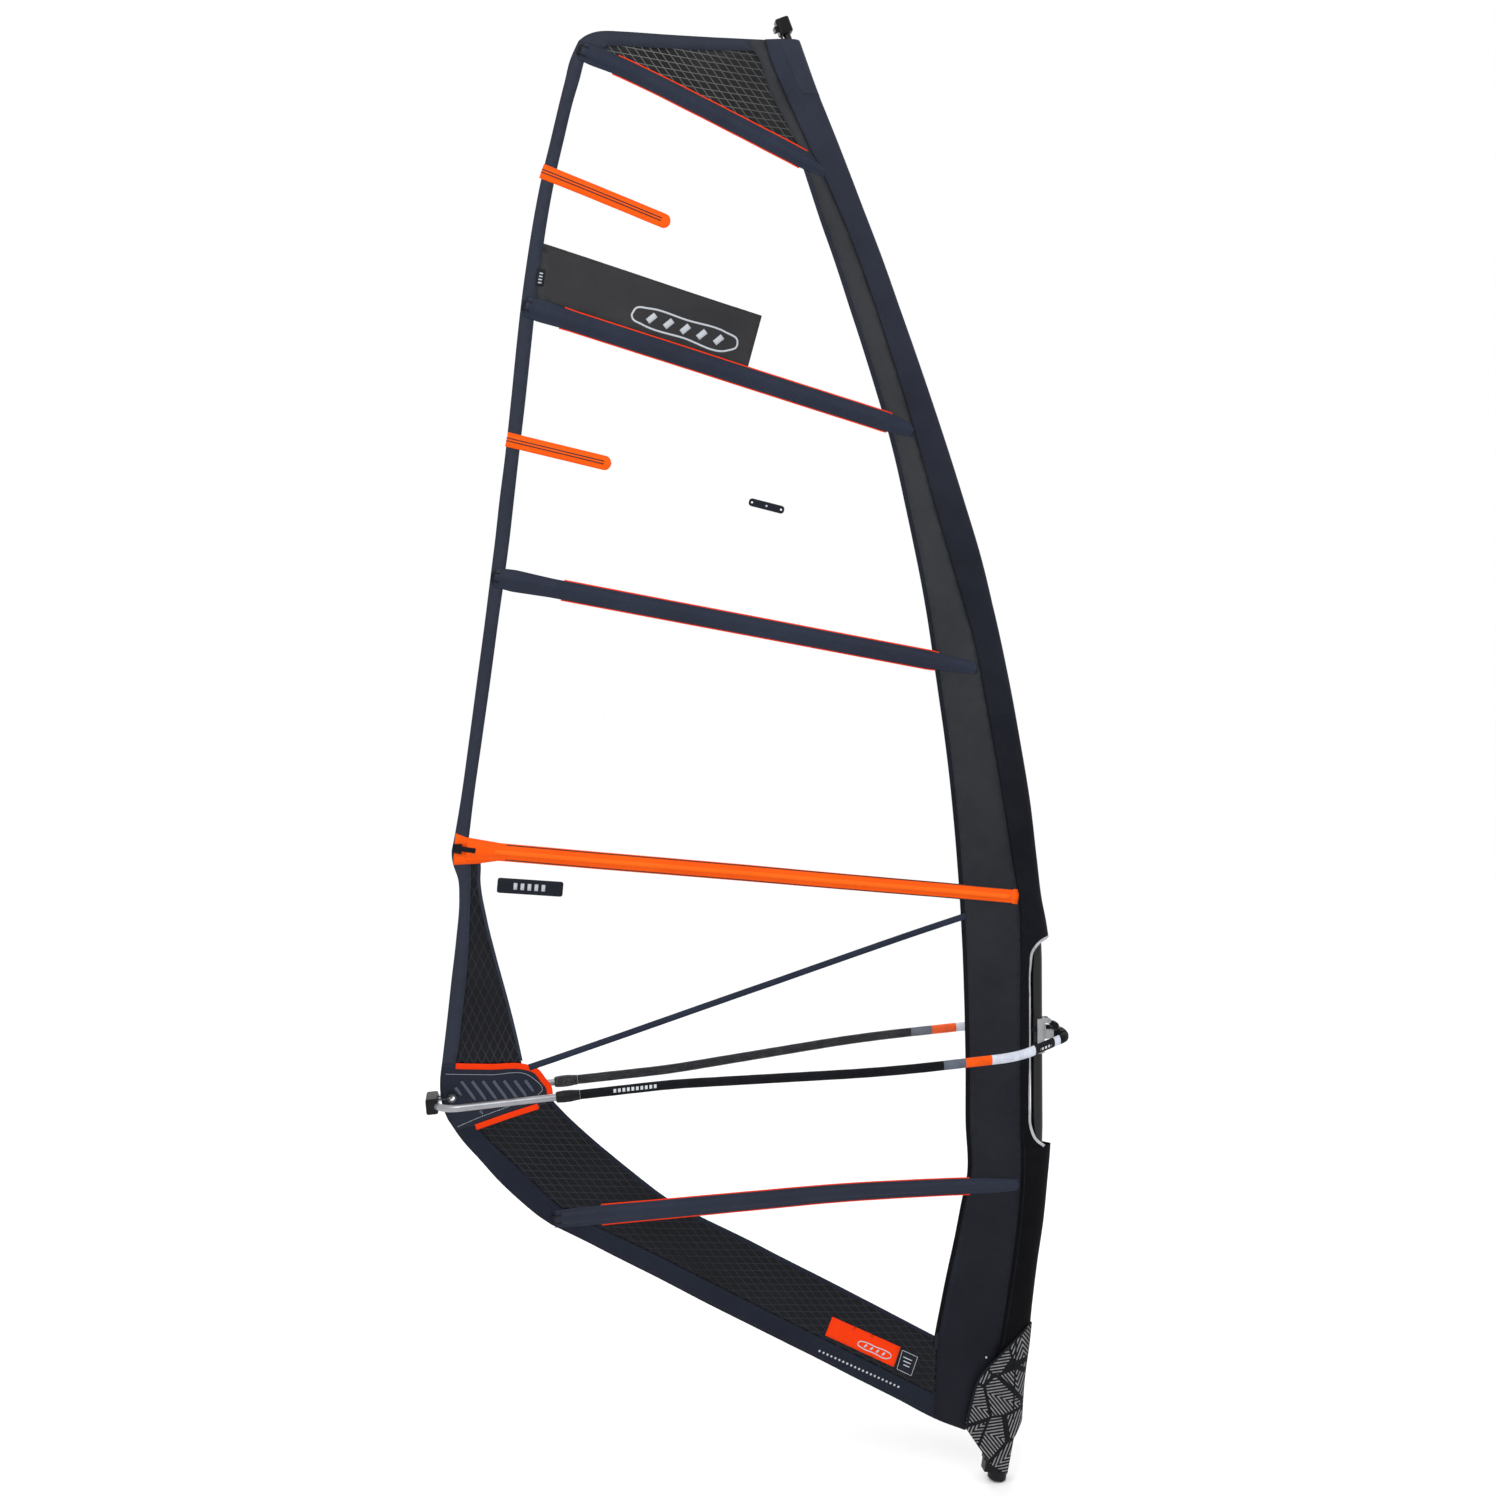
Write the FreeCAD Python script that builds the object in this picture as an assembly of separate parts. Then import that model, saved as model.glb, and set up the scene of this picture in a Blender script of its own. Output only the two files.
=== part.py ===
import FreeCAD, Part
import os, math

os.makedirs("parts", exist_ok=True)
V = FreeCAD.Vector

# ------------------------------------------------------------------ driving dimensions (mm)
# Frame: X forwards (towards the mast), Z up, Y across the rig.  The origin is the mouth of
# the socket in the mast foot.
SAIL_T = 2.0            # thickness of the sail slab
MAST_R = 18.5           # outer radius of the lower mast half (reduced diameter mast)
MAST_WALL = 2.5
MAST_FOOT_SLOPE = 0.1467   # forward lean of the straight foot of the mast, dX/dZ
MAST_CUT_LO = (117.5, 1150.0)   # straight mast between these two points (boom cut-out)
MAST_CUT_HI = (109.0, 1650.0)
MAST_JOIN_Z = 2130.0    # where the two mast halves meet
EXT_R = 15.75           # mast extension tube
SLEEVE_T = 1.6
BOOM_HUB = (191.2, 1430.5)      # front centre of the boom, X and Z
BOOM_TILT = 4.4         # degrees, the tail is lower than the front
ARM_R = 13.0            # boom arm tube
ARM_BORE_R = 11.05
TAIL_R = 11.0           # telescoping tail tube
GRIP_R = 14.2
ARM_HALF = 87.0         # half distance between the arms at the tail
TAIL_X = -1958.0        # tail cross bar, in the boom's own frame
LINE_R = 2.0            # rope radius
SOCKET_R = 7.0          # mast foot socket
SOCKET_L = 38.0

# ------------------------------------------------------------------ outline tables, (X, Z)
SEAM = [(-756.3,4451.4),(-738.2,4393.5),(-696.0,4299.6),(-659.6,4222.5),(-617.0,4136.5),(-583.5,4075.0),(-552.8,4012.0),(-497.3,3887.7),(-438.3,3738.2),(-378.7,3569.8),(-318.6,3388.0),(-251.4,3162.3),(-177.1,2919.2),(-102.0,2673.6),(-58.6,2472.2),(-11.1,2222.3),(33.5,1970.2),(52.5,1855.0),(59.0,1732.1),(61.2,1540.9),(63.5,1348.7),(65.8,1155.5),(68.1,961.3),(56.9,799.3),(32.9,604.6),(5.3,425.8),(-32.3,247.1),(-44.6,165.3)]
FRONT = [(-654.1,4455.0),(-588.7,4283.5),(-539.7,4168.5),(-468.7,3994.7),(-397.2,3819.5),(-331.2,3642.5),(-264.7,3464.1),(-200.7,3284.1),(-139.4,3102.7),(-80.7,2919.7),(-34.3,2735.3),(9.3,2549.5),(46.7,2362.4),(81.1,2174.0),(106.1,1984.6),(123.9,1857.6),(138.0,1793.9),(148.4,1729.9),(155.8,1538.1),(161.6,1345.3),(164.1,1151.6),(163.5,1070.7),(155.2,957.4),(143.7,827.7),(125.6,697.9),(110.7,567.7),(99.1,436.9),(84.1,305.9),(77.2,190.6)]
LEECH = [(-1307.6,4423.4),(-1316.8,4404.5),(-1332.5,4368.3),(-1347.5,4310.6),(-1362.5,4252.9),(-1391.0,4137.3),(-1419.7,4021.7),(-1443.0,3906.0),(-1462.5,3790.1),(-1479.7,3674.1),(-1493.9,3557.8),(-1513.2,3382.8),(-1533.9,3207.1),(-1550.0,3089.6),(-1564.2,2971.8),(-1579.0,2862.5),(-1596.1,2735.2),(-1621.6,2557.0),(-1647.2,2378.2),(-1674.0,2198.7),(-1697.0,2072.0),(-1702.9,2042.7),(-1700.3,2012.5),(-1684.0,1957.8),(-1682.0,1897.2),(-1692.8,1776.2),(-1708.0,1654.9),(-1722.5,1533.3),(-1738.0,1411.4),(-1745.6,1350.3),(-1744.7,1304.2),(-1736.9,1262.0),(-1723.4,1226.4)]
CLEWLOW = [(-1723.4,1226.4),(-1682.3,1163.0),(-1629.1,1098.8),(-1575.6,1034.4),(-1509.8,967.0),(-1455.0,917.0),(-1416.4,888.0)]
FOOT = [(-1416.4,888.0),(-1319.0,834.6),(-1199.6,765.5),(-1076.1,695.7),(-957.8,625.7),(-832.4,554.7),(-705.8,483.2),(-578.3,411.1),(-452.9,338.6),(-323.2,265.2),(-195.7,191.5),(-109.3,153.0)]
HEADTOP = [(-756.3,4451.4),(-889.6,4454.4),(-1001.3,4455.8),(-1091.9,4456.6),(-1182.8,4457.3),(-1230.0,4456.2),(-1250.8,4453.5),(-1271.9,4447.1),(-1292.7,4436.1),(-1307.6,4423.4)]
LUFF_IN = [(-647.0,4138.9),(-619.3,4058.3),(-576.0,3933.6),(-532.7,3816.9),(-492.2,3699.4),(-451.5,3581.2),(-412.2,3462.3),(-356.7,3282.7),(-298.3,3041.0),(-245.6,2796.7),(-204.8,2549.9),(-167.2,2300.8),(-138.7,2049.4),(-119.7,1827.5),(-112.1,1700.4),(-104.0,1509.0),(-99.3,1348.8),(-97.2,1155.3),(-91.8,970.2),(-107.2,895.9),(-131.5,766.0),(-159.5,636.4),(-184.9,507.2),(-196.5,449.9)]
HEADDIAG = [(-788.8,4418.3),(-770.0,4391.1),(-740.7,4300.2),(-664.0,4163.8),(-647.0,4138.9)]
LEECH_IN = [(-1650.7,2084.0),(-1636.0,2198.1),(-1608.9,2377.8),(-1581.9,2556.9),(-1556.4,2735.2),(-1535.9,2871.5),(-1521.6,2972.0),(-1507.2,3090.0),(-1492.9,3207.6),(-1470.7,3383.5),(-1450.5,3558.7),(-1435.8,3683.9),(-1420.2,3791.3),(-1402.2,3907.3),(-1379.8,4023.1),(-1352.1,4138.9),(-1323.1,4254.5),(-1305.2,4312.4),(-1291.7,4364.4)]
LEECH_LOW_IN = [(-1698.3,1396.7),(-1692.6,1425.1),(-1674.6,1562.3),(-1657.9,1714.4),(-1648.4,1896.5),(-1645.0,1987.2),(-1650.7,2084.0)]
CLEW_IN = [(-1632.0,2047.0),(-1622.0,2009.4),(-1623.0,1956.6),(-1604.5,1834.7),(-1576.0,1711.9),(-1544.4,1588.3),(-1515.6,1464.0),(-1501.2,1392.3)]
PATCH = [(-1698.3,1396.7),(-1490.7,1386.2),(-1475.6,1381.2),(-1459.7,1372.0),(-1435.2,1337.5),(-1416.8,1314.5),(-1412.8,1292.0),(-1419.0,1275.0),(-1451.3,1261.0),(-1641.1,1206.0),(-1701.4,1191.6)]
FOOT_UP = [(-1419.0,1275.0),(-1358.6,1208.1),(-1291.8,1142.2),(-1218.4,1075.6),(-1141.4,1008.4),(-1066.0,946.3),(-986.0,895.0),(-938.9,868.6),(-813.0,800.0),(-689.0,728.9),(-560.8,657.0),(-434.8,585.0),(-308.2,513.0),(-196.5,449.9)]
HEM_IN = [(-1641.1,1206.0),(-1607.3,1165.9),(-1532.8,1088.2),(-1463.9,1016.6),(-1418.8,968.6),(-1375.5,930.4),(-1266.6,869.2),(-1143.7,803.0),(-957.4,697.9),(-768.7,591.4),(-597.5,493.9),(-448.8,410.6),(-302.4,329.3),(-207.4,277.3)]
NOTCH = [(260.0,1741.1),(145.0,1741.1),(114.3,1724.4),(95.1,1699.4),(87.5,1651.8),(87.3,1540.2),(89.6,1347.8),(91.0,1186.8),(95.4,1138.2),(112.3,1098.7),(138.8,1078.2),(260.0,1074.3)]
FAIRING = [(93.4,496.4),(7.7,413.9),(-69.1,328.2),(-97.5,228.5),(-109.2,166.5),(-32.3,52.3),(23.0,15.7),(43.6,127.8),(79.3,183.8),(98.4,408.6)]
INSIGNIA = [(-1414.5,3839.7),(-761.2,3649.9),(-804.2,3493.1),(-949.2,3537.0),(-1349.7,3651.0),(-1437.0,3678.0),(-1428.0,3750.0)]
TRIM_TAG = (-745.0, 3081.5, 112.0, 24.0, -13.5)      # centre X, Z, length, width, tilt
LABEL_TAG = (-1470.0, 1930.5, 198.0, 46.0, -5.5)
STRAP = [(-1478.7,1377.9),(-1076.2,1498.4),(-634.7,1634.8),(-114.5,1809.1)]
B1 = [(-1309.0,4399.2),(-1192.1,4358.3),(-949.1,4255.6),(-709.7,4143.3),(-566.0,4071.6)]
B2 = [(-1477.8,3659.9),(-1349.7,3621.8),(-949.2,3507.8),(-643.8,3417.9),(-369.5,3332.9),(-297.0,3309.0)]
B3 = [(-1576.6,2863.7),(-1367.6,2824.4),(-1063.3,2767.5),(-736.1,2706.5),(-409.4,2644.7),(-211.8,2607.2),(-90.3,2584.5)]
B4 = [(-1698.8,2054.0),(-1580.0,2042.1),(-1258.7,2005.8),(-888.0,1963.7),(-477.9,1918.5),(-126.7,1885.6),(48.0,1869.6)]
B5 = [(-1414.0,903.7),(-1260.1,910.3),(-1061.2,914.9),(-778.8,920.3),(-466.7,929.6),(-312.9,933.8),(-94.8,941.8),(63.0,946.1)]
MINI_A = [(-1418.0,4047.6),(-1228.0,3979.7),(-1039.2,3911.7)]
MINI_B = [(-1527.5,3267.8),(-1373.0,3233.0),(-1218.8,3198.7)]
RING = (-1710.9, 1293.6)

# ------------------------------------------------------------------ helpers
def lerp(tab, z, k=1, v=0):
    t = sorted(tab, key=lambda p: p[k])
    if z <= t[0][k]:
        return t[0][v]
    for a, b in zip(t, t[1:]):
        if z <= b[k]:
            return a[v] + (b[v] - a[v]) * (z - a[k]) / (b[k] - a[k])
    return t[-1][v]

def solids(s):
    return [q for q in s.Solids if q.Volume > 1.0]

def one(s):
    q = solids(s)
    return q[0] if len(q) == 1 else Part.Compound(q)

OUT = {}
def put(name, shape):
    OUT[name] = shape
    print("%-24s solids %2d  volume %12.1f  valid %s" % (name, len(shape.Solids), shape.Volume, shape.isValid()))

def spline(pts, y=0.0, closed=False):
    c = Part.BSplineCurve()
    c.interpolate(Points=[V(p[0], y, p[1]) for p in pts])
    return c.toShape()

def region(*segs):
    """Prism across Y over the closed outline made of smooth ('s') and straight ('l') runs."""
    y = -200.0
    edges, last, first = [], None, None
    for kind, pts in segs:
        if first is None:
            first = pts[0]
        if last is not None and (abs(last[0]-pts[0][0]) > 1e-6 or abs(last[1]-pts[0][1]) > 1e-6):
            edges.append(Part.makeLine(V(last[0], y, last[1]), V(pts[0][0], y, pts[0][1])))
        if kind == "s":
            edges.append(spline(pts, y))
        else:
            for a, b in zip(pts, pts[1:]):
                edges.append(Part.makeLine(V(a[0], y, a[1]), V(b[0], y, b[1])))
        last = pts[-1]
    if abs(last[0]-first[0]) > 1e-6 or abs(last[1]-first[1]) > 1e-6:
        edges.append(Part.makeLine(V(last[0], y, last[1]), V(first[0], y, first[1])))
    f = Part.Face(Part.Wire(edges))
    return f.extrude(V(0, 400, 0))

# ------------------------------------------------------------------ sail surface, Y = camber(X, Z)
C_TAB = [(0,0),(300,0),(500,20),(1000,58),(1350,62),(1700,60),(2400,50),(3300,35),(4300,12),(4600,8)]
XT = [(4600,-1290),(4400,-1315),(3500,-1502),(2500,-1630),(1900,-1705),(1500,-1740),(1300,-1740),(1100,-1640),(888,-1430),(600,-930),(300,-400),(165,-160)]
def camber(x, z):
    xs = lerp(SEAM, z); xt = lerp(XT, z, 0, 1)
    u = (xs - x) / max(xs - xt, 60.0)
    if u <= 0 or u >= 1:
        return 0.0
    return lerp(C_TAB, z, 0, 1) * 10.06 * u**1.3 * (1 - u)**2.2

grid = []
for i in range(26):
    x = -1860.0 + i * 80.0
    grid.append([V(x, camber(x, z) - SAIL_T/2, z) for z in [40.0 + 112.5*j for j in range(41)]])
surf = Part.BSplineSurface()
surf.interpolate(grid)
FACE = surf.toShape()
SLAB = FACE.extrude(V(0, SAIL_T, 0))
GAP_FACE = FACE.copy(); GAP_FACE.translate(V(0, -0.06, 0))
SLAB_CLEAR = GAP_FACE.extrude(V(0, SAIL_T + 0.12, 0))      # the slab and a hair's breadth, for what lies on it

def overlay(th):
    return FACE.extrude(V(0, -th, 0))

# ------------------------------------------------------------------ sail panels
outline = region(("s", HEADTOP), ("s", LEECH), ("s", CLEWLOW), ("s", FOOT), ("l", [FOOT[-1], SEAM[-1]]), ("s", SEAM[::-1]))
sail = SLAB.common(outline)

R_luff = region(("l", [(-800,4700),(-800,4425)] + HEADDIAG), ("s", LUFF_IN), ("l", [LUFF_IN[-1], (-205,300), (-216,60), (500,60), (500,4700)]))
luff = sail.common(R_luff); rest = sail.cut(R_luff)
R_leech = region(("l", [(-1950,1405), LEECH_LOW_IN[0]]), ("s", LEECH_LOW_IN), ("s", LEECH_IN), ("l", [LEECH_IN[-1], (-1223.2,4414.5), (-788.8,4418.3), (-600,4420), (-600,4750), (-1950,4750)]))
leech = rest.common(R_leech); rest = rest.cut(R_leech)
R_patch = region(("l", [(-1950,1405)] + PATCH + [(-1950,1150)]))
patch = rest.common(R_patch); rest = rest.cut(R_patch)
R_clew = region(("l", [(-1950,2075), CLEW_IN[0]]), ("s", CLEW_IN), ("l", [CLEW_IN[-1], (-1495,1370), (-1950,1370)]))
clew = rest.common(R_clew); rest = rest.cut(R_clew)
R_foot = region(("s", FOOT_UP), ("l", [FOOT_UP[-1], (-150,400), (-150,0), (-1950,0), (-1950,1275)]))
foot = rest.common(R_foot); rest = rest.cut(R_foot)
R_hem = region(("l", [(-1950,1300), HEM_IN[0]]), ("s", HEM_IN), ("l", [HEM_IN[-1], (-100,220), (-100,0), (-1950,0)]))
hem = foot.common(R_hem); foot = foot.cut(R_hem)

def above(axis):
    a, b = axis[0], axis[-1]
    return region(("l", [(-1950, a[1] + (a[0]+1950)*0.05), a]), ("s", axis), ("l", [b, (400, b[1]), (400, 4800), (-1950, 4800)]))
head = rest.common(above(B1)); rest = rest.cut(above(B1))
w1 = rest.common(above(B2)); rest = rest.cut(above(B2))
w2 = rest.common(above(B3)); rest = rest.cut(above(B3))
w3 = rest.common(above(B4)); rest = rest.cut(above(B4))
w4 = rest.common(above(B5)); w5 = rest.cut(above(B5))

ring_hole = Part.makeCylinder(10.0, 40, V(RING[0], -20, RING[1]), V(0, 1, 0))
patch = patch.cut(ring_hole)

put("luff_panel", one(luff))
put("leech_tape", one(leech))
put("clew_patch", one(patch))
put("clew_panel", one(clew))
put("foot_panel", one(foot))
put("foot_hem", one(hem))
put("head_panel", one(head))
for n, w in (("window_1", w1), ("window_2", w2), ("window_3", w3), ("window_4", w4), ("window_5", w5)):
    put(n, one(w))

# ------------------------------------------------------------------ strips that lie on the sail
def resample(axis, n):
    e = spline(axis)
    L = e.Length
    c = e.Curve
    us = c.discretize(n)
    return [(p.x, p.z) for p in us]

def strip(axis, widths, y0, y1, n=9, dome=False):
    """Solid along an axis on the sail; y0 and y1 are offsets from the camber surface."""
    pts = resample(axis, n)
    wires = []
    for i, p in enumerate(pts):
        a = pts[max(i-1, 0)]; b = pts[min(i+1, n-1)]
        tx, tz = b[0]-a[0], b[1]-a[1]
        L = math.hypot(tx, tz); nx, nz = -tz/L, tx/L
        s = i/(n-1.0)
        w = lerp(widths, s, 0, 1)
        def q(a_, y_):
            x, z = p[0] + nx*a_, p[1] + nz*a_
            return V(x, camber(x, z) + y_, z)
        if dome:
            k = [-0.5, -0.3, 0.0, 0.3, 0.5]
            c = Part.BSplineCurve()
            c.interpolate(Points=[q(w*t, y0 + (y1-y0)*(1-(2*t)**2)) for t in k])
            e = c.toShape()
            wires.append(Part.Wire([e, Part.makeLine(q(w*0.5, y0), q(-w*0.5, y0))]))
        else:
            c = [q(-w/2, y0), q(w/2, y0), q(w/2, y1), q(-w/2, y1)]
            wires.append(Part.makePolygon(c + [c[0]]))
    return Part.makeLoft(wires, True, False)

def trimmed(axis, d0, d1):
    """Axis without its first d0 and last d1 millimetres."""
    e = spline(axis); n = 60
    pts = [(p.x, p.z) for p in e.Curve.discretize(n)]
    L = e.Length
    i0 = int(round(d0 / L * (n-1))); i1 = int(round(d1 / L * (n-1)))
    keep = pts[i0:n-i1]
    return keep[::max(1, len(keep)//8)] + ([keep[-1]] if (len(keep)-1) % max(1, len(keep)//8) else [])

BATTENS = [("1", B1, [(0,58),(0.15,54),(0.9,52),(1,34)]), ("2", B2, [(0,66),(0.1,58),(0.93,57),(1,36)]),
           ("3", B3, [(0,66),(0.1,57),(0.9,56),(1,34)]), ("4", B4, [(0,80),(0.08,54),(0.5,52),(1,47)]),
           ("5", B5, [(0,56),(0.2,57),(0.8,52),(0.93,50),(1,36)])]
batten_all, tens_all = [], []
for n, ax, w in BATTENS:
    body = trimmed(ax, 40, 0)
    outer = strip(body, w, 0.0, -10.0, 9, True)
    inner = strip(body, [(0,26),(1,26)], 0.0, -7.5, 9, True)
    inner_long = inner
    pocket = outer.cut(inner_long).cut(SLAB_CLEAR)
    put("batten_pocket_" + n, one(pocket))
    batten_all.append(strip(body, [(0,14),(1,14)], -1.7, -5.0, 9).cut(SLAB_CLEAR))
    e0 = spline(ax).Curve.discretize(200)
    L = spline(ax).Length; m = int(30.0 / L * 199)
    end = [(p.x, p.z) for p in e0[:m+1]]
    end = [end[0], end[len(end)//2], end[-1]]
    tens_all.append(one(strip(end, [(0,26),(1,30)], 0.0, -9.0, 3).cut(SLAB_CLEAR)))
put("batten_tensioners", Part.Compound(tens_all))

mp, mb = [], []
for ax in (MINI_A, MINI_B):
    o = strip(ax, [(0,43),(0.9,43),(1,30)], 0.0, -6.5, 6, True)
    i = strip(ax, [(0,18),(1,18)], 0.0, -4.6, 6, True)
    mp.append(one(o.cut(i).cut(SLAB_CLEAR)))
    mb.append(strip(ax, [(0,9),(1,9)], -1.3, -2.9, 6))
put("mini_batten_pockets", Part.Compound(mp))
put("battens", Part.Compound(batten_all + mb))

put("insignia_panel", one(overlay(0.6).common(region(("l", INSIGNIA + [INSIGNIA[0]])))))
def tag(c):
    x, z, L, w, a = c
    b = Part.makeBox(L, 400, w, V(-L/2, -200, -w/2))
    b = b.makeFillet(w*0.3, [e for e in b.Edges if abs(e.tangentAt(e.FirstParameter).y) > 0.9])
    b.rotate(V(0,0,0), V(0,1,0), -a)
    b.translate(V(x, 0, z))
    return one(overlay(0.8).common(b))
put("window_tags", Part.Compound([tag(TRIM_TAG), tag(LABEL_TAG)]))
put("clew_load_strap", one(strip(STRAP, [(0,20),(1,20)], 0.0, -2.2, 7).cut(SLAB_CLEAR)))

g = Part.makeCylinder(9.8, 7.2, V(RING[0], -3.6, RING[1]), V(0,1,0))
for y in (-3.6, 1.25):
    g = g.fuse(Part.makeCylinder(14.0, 2.35, V(RING[0], y, RING[1]), V(0,1,0)))
g = g.cut(Part.makeCylinder(8.5, 20, V(RING[0], -10, RING[1]), V(0,1,0)))
put("clew_grommet", one(g.removeSplitter()))

# ------------------------------------------------------------------ mast
ku = MAST_FOOT_SLOPE
foot_dir = V(ku, 0, 1); foot_dir.normalize()
P450 = (450*ku, 450.0)
cut_dir = V(MAST_CUT_HI[0]-MAST_CUT_LO[0], 0, MAST_CUT_HI[1]-MAST_CUT_LO[1]); cut_dir.normalize()
def tspline(pts, t0, t1):
    c = Part.BSplineCurve()
    kw = dict(Points=[V(p[0], 0, p[1]) for p in pts])
    if t0 is not None and t1 is not None:
        kw["InitialTangent"] = t0; kw["FinalTangent"] = t1
    c.interpolate(**kw)
    return c
low = tspline([P450,(85.5,634.7),(101.5,829.8),(112.5,1000.0),MAST_CUT_LO], foot_dir, cut_dir)
tip_dir = V(-0.40, 0, 1); tip_dir.normalize()
UP = [MAST_CUT_HI,(103.0,1762.9),(87.5,1921.7),(53.7,2174.4),(1.6,2487.4),(-68.3,2796.9),(-158.3,3102.5),(-261.1,3404.0),(-370.2,3701.3),(-484.0,3994.3),(-603.8,4282.9),(-697.0,4485.0)]
up = tspline(UP, cut_dir, tip_dir)
MAST_BOT = foot_dir * 186.0
R_TAB = [(0,18.5),(2130,18.5),(2487,16.0),(2797,15.1),(3102,14.7),(3404,14.2),(3701,13.2),(3994,12.0),(4283,11.4),(4600,11.0)]
def mast_x(z):
    if z <= 450: return ku*z
    if z < 1150: 
        return min(((low.value(low.FirstParameter+(low.LastParameter-low.FirstParameter)*k/200.0)) for k in range(201)), key=lambda p: abs(p.z-z)).x
    if z <= 1650: return MAST_CUT_LO[0] + (z-1150)*(MAST_CUT_HI[0]-MAST_CUT_LO[0])/500.0
    return min(((up.value(up.FirstParameter+(up.LastParameter-up.FirstParameter)*k/1500.0)) for k in range(1501)), key=lambda p: abs(p.z-z)).x

def uat(curve, z):
    lo_, hi_ = curve.FirstParameter, curve.LastParameter
    for _ in range(60):
        m = (lo_+hi_)/2
        if curve.value(m).z < z: lo_ = m
        else: hi_ = m
    return (lo_+hi_)/2
u_join = uat(up, MAST_JOIN_Z)
def sweep(spine, r, start, direction):
    w = Part.Wire([Part.makeCircle(r, start, direction)])
    return Part.Wire(spine.Edges).makePipeShell([w], True, False)
def loft_round(curve, ua, ub, r, n):
    """Round bar of constant radius along part of a smooth curve."""
    wires = []
    for k in range(n):
        u_ = ua + (ub-ua)*k/(n-1.0)
        wires.append(Part.Wire([Part.makeCircle(r, curve.value(u_), curve.tangent(u_)[0])]))
    return Part.makeLoft(wires, True, False)
def lower_bar(r):
    p450 = V(P450[0], 0, P450[1]); c0 = V(MAST_CUT_LO[0], 0, MAST_CUT_LO[1]); c1 = V(MAST_CUT_HI[0], 0, MAST_CUT_HI[1])
    return [Part.makeCylinder(r, (p450-MAST_BOT).Length, MAST_BOT, foot_dir),
            loft_round(low, low.FirstParameter, low.LastParameter, r, 9),
            Part.makeCylinder(r, (c1-c0).Length, c0, cut_dir),
            loft_round(up, up.FirstParameter, u_join, r, 8)]
mseg = [o.cut(i) for o, i in zip(lower_bar(MAST_R), lower_bar(MAST_R-MAST_WALL))]
mb_ = mseg[0]
for q_ in mseg[1:]:
    mb_ = mb_.fuse(q_)
put("mast_bottom", one(mb_))
def taper(z0, z1, dr, n=14):
    wires = []
    ua, ub = uat(up, z0), (up.LastParameter if z1 is None else uat(up, z1))
    for k in range(n):
        u_ = ua + (ub-ua)*k/(n-1.0)
        p = up.value(u_); t = up.tangent(u_)[0]
        wires.append(Part.Wire([Part.makeCircle(lerp(R_TAB, p.z, 0, 1) + dr, p, t)]))
    return Part.makeLoft(wires, True, False)
put("mast_top", one(taper(MAST_JOIN_Z, None, 0.0).cut(taper(MAST_JOIN_Z, None, -2.6))))
pj = up.value(u_join); tj = up.tangent(u_join)[0]
put("mast_ferrule", one(Part.makeCylinder(14.9, 150, pj - tj*75, tj).cut(Part.makeCylinder(12.4, 150, pj - tj*75, tj))))

# ------------------------------------------------------------------ luff sleeve
def tear(z, xr, xm, xf, h, rear, y_shift=0.0):
    d = xm - xr
    half = [(xr, rear), (xr+0.30*d, rear+(h-rear)*0.45), (xr+0.66*d, rear+(h-rear)*0.86), (xm, h), (xm+(xf-xm)*0.74, h*0.69), (xf, 0.0)]
    pts = [V(x, -y, z) for x, y in half] + [V(x, y, z) for x, y in half[-2::-1]]
    c = Part.BSplineCurve(); c.interpolate(Points=pts)
    return Part.Wire([c.toShape(), Part.makeLine(pts[-1], pts[0])])
ZS = [196,300,420,560,700,850,1000,1080,1160,1300,1450,1600,1740,1860,2000,2200,2450,2700,2950,3200,3450,3700,3950,4150,4300,4400,4452]
def sleeve_solid(off, rear, xr_off):
    ws = []
    for z in ZS:
        r = lerp(R_TAB, z, 0, 1); xm = mast_x(z)
        xf = max(lerp(FRONT, z), xm + r*1.09 + 2.6)
        ws.append(tear(z, lerp(SEAM, z)+xr_off, xm, xf+off, r+2.4+off, rear))
    return Part.makeLoft(ws, True, False)
S_out = sleeve_solid(0.0, 1.4, 0.0)
S_in = sleeve_solid(-SLEEVE_T, 0.5, 6.0)
shell = S_out.cut(S_in)
notch = region(("l", NOTCH[:1]), ("s", NOTCH[1:-1]), ("l", NOTCH[-1:]))
shell = shell.cut(notch)
def zbox(a, b):
    return Part.makeBox(2600, 400, b-a, V(-1900, -200, a))
put("upper_sleeve", one(shell.common(zbox(1741.2, 4600))))
put("cutout_sleeve", one(shell.common(zbox(1076.0, 1741.2))))
put("lower_sleeve", one(shell.common(zbox(100, 1076.0))))

S_trim = sleeve_solid(1.3, 2.6, -0.2)
nf = Part.Face(Part.Wire([spline(NOTCH[1:-1], 0.0), Part.makeLine(V(NOTCH[-2][0],0,NOTCH[-2][1]), V(260,0,NOTCH[-2][1])), Part.makeLine(V(260,0,NOTCH[-2][1]), V(260,0,NOTCH[1][1])), Part.makeLine(V(260,0,NOTCH[1][1]), V(NOTCH[1][0],0,NOTCH[1][1]))]))
OFFN = [(260,1750.5),(146,1750.5),(108.5,1731.5),(87.3,1703.0),(79.0,1652.0),(78.8,1540.0),(81.1,1347.8),(82.5,1186.8),(87.2,1136.0),(106.0,1091.5),(136.5,1068.8),(260,1065.5)]
band = region(("l", OFFN[:1]), ("s", OFFN[1:-1]), ("l", OFFN[-1:])).cut(notch)
put("cutout_piping", one(S_trim.cut(S_out).common(band)))

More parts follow.
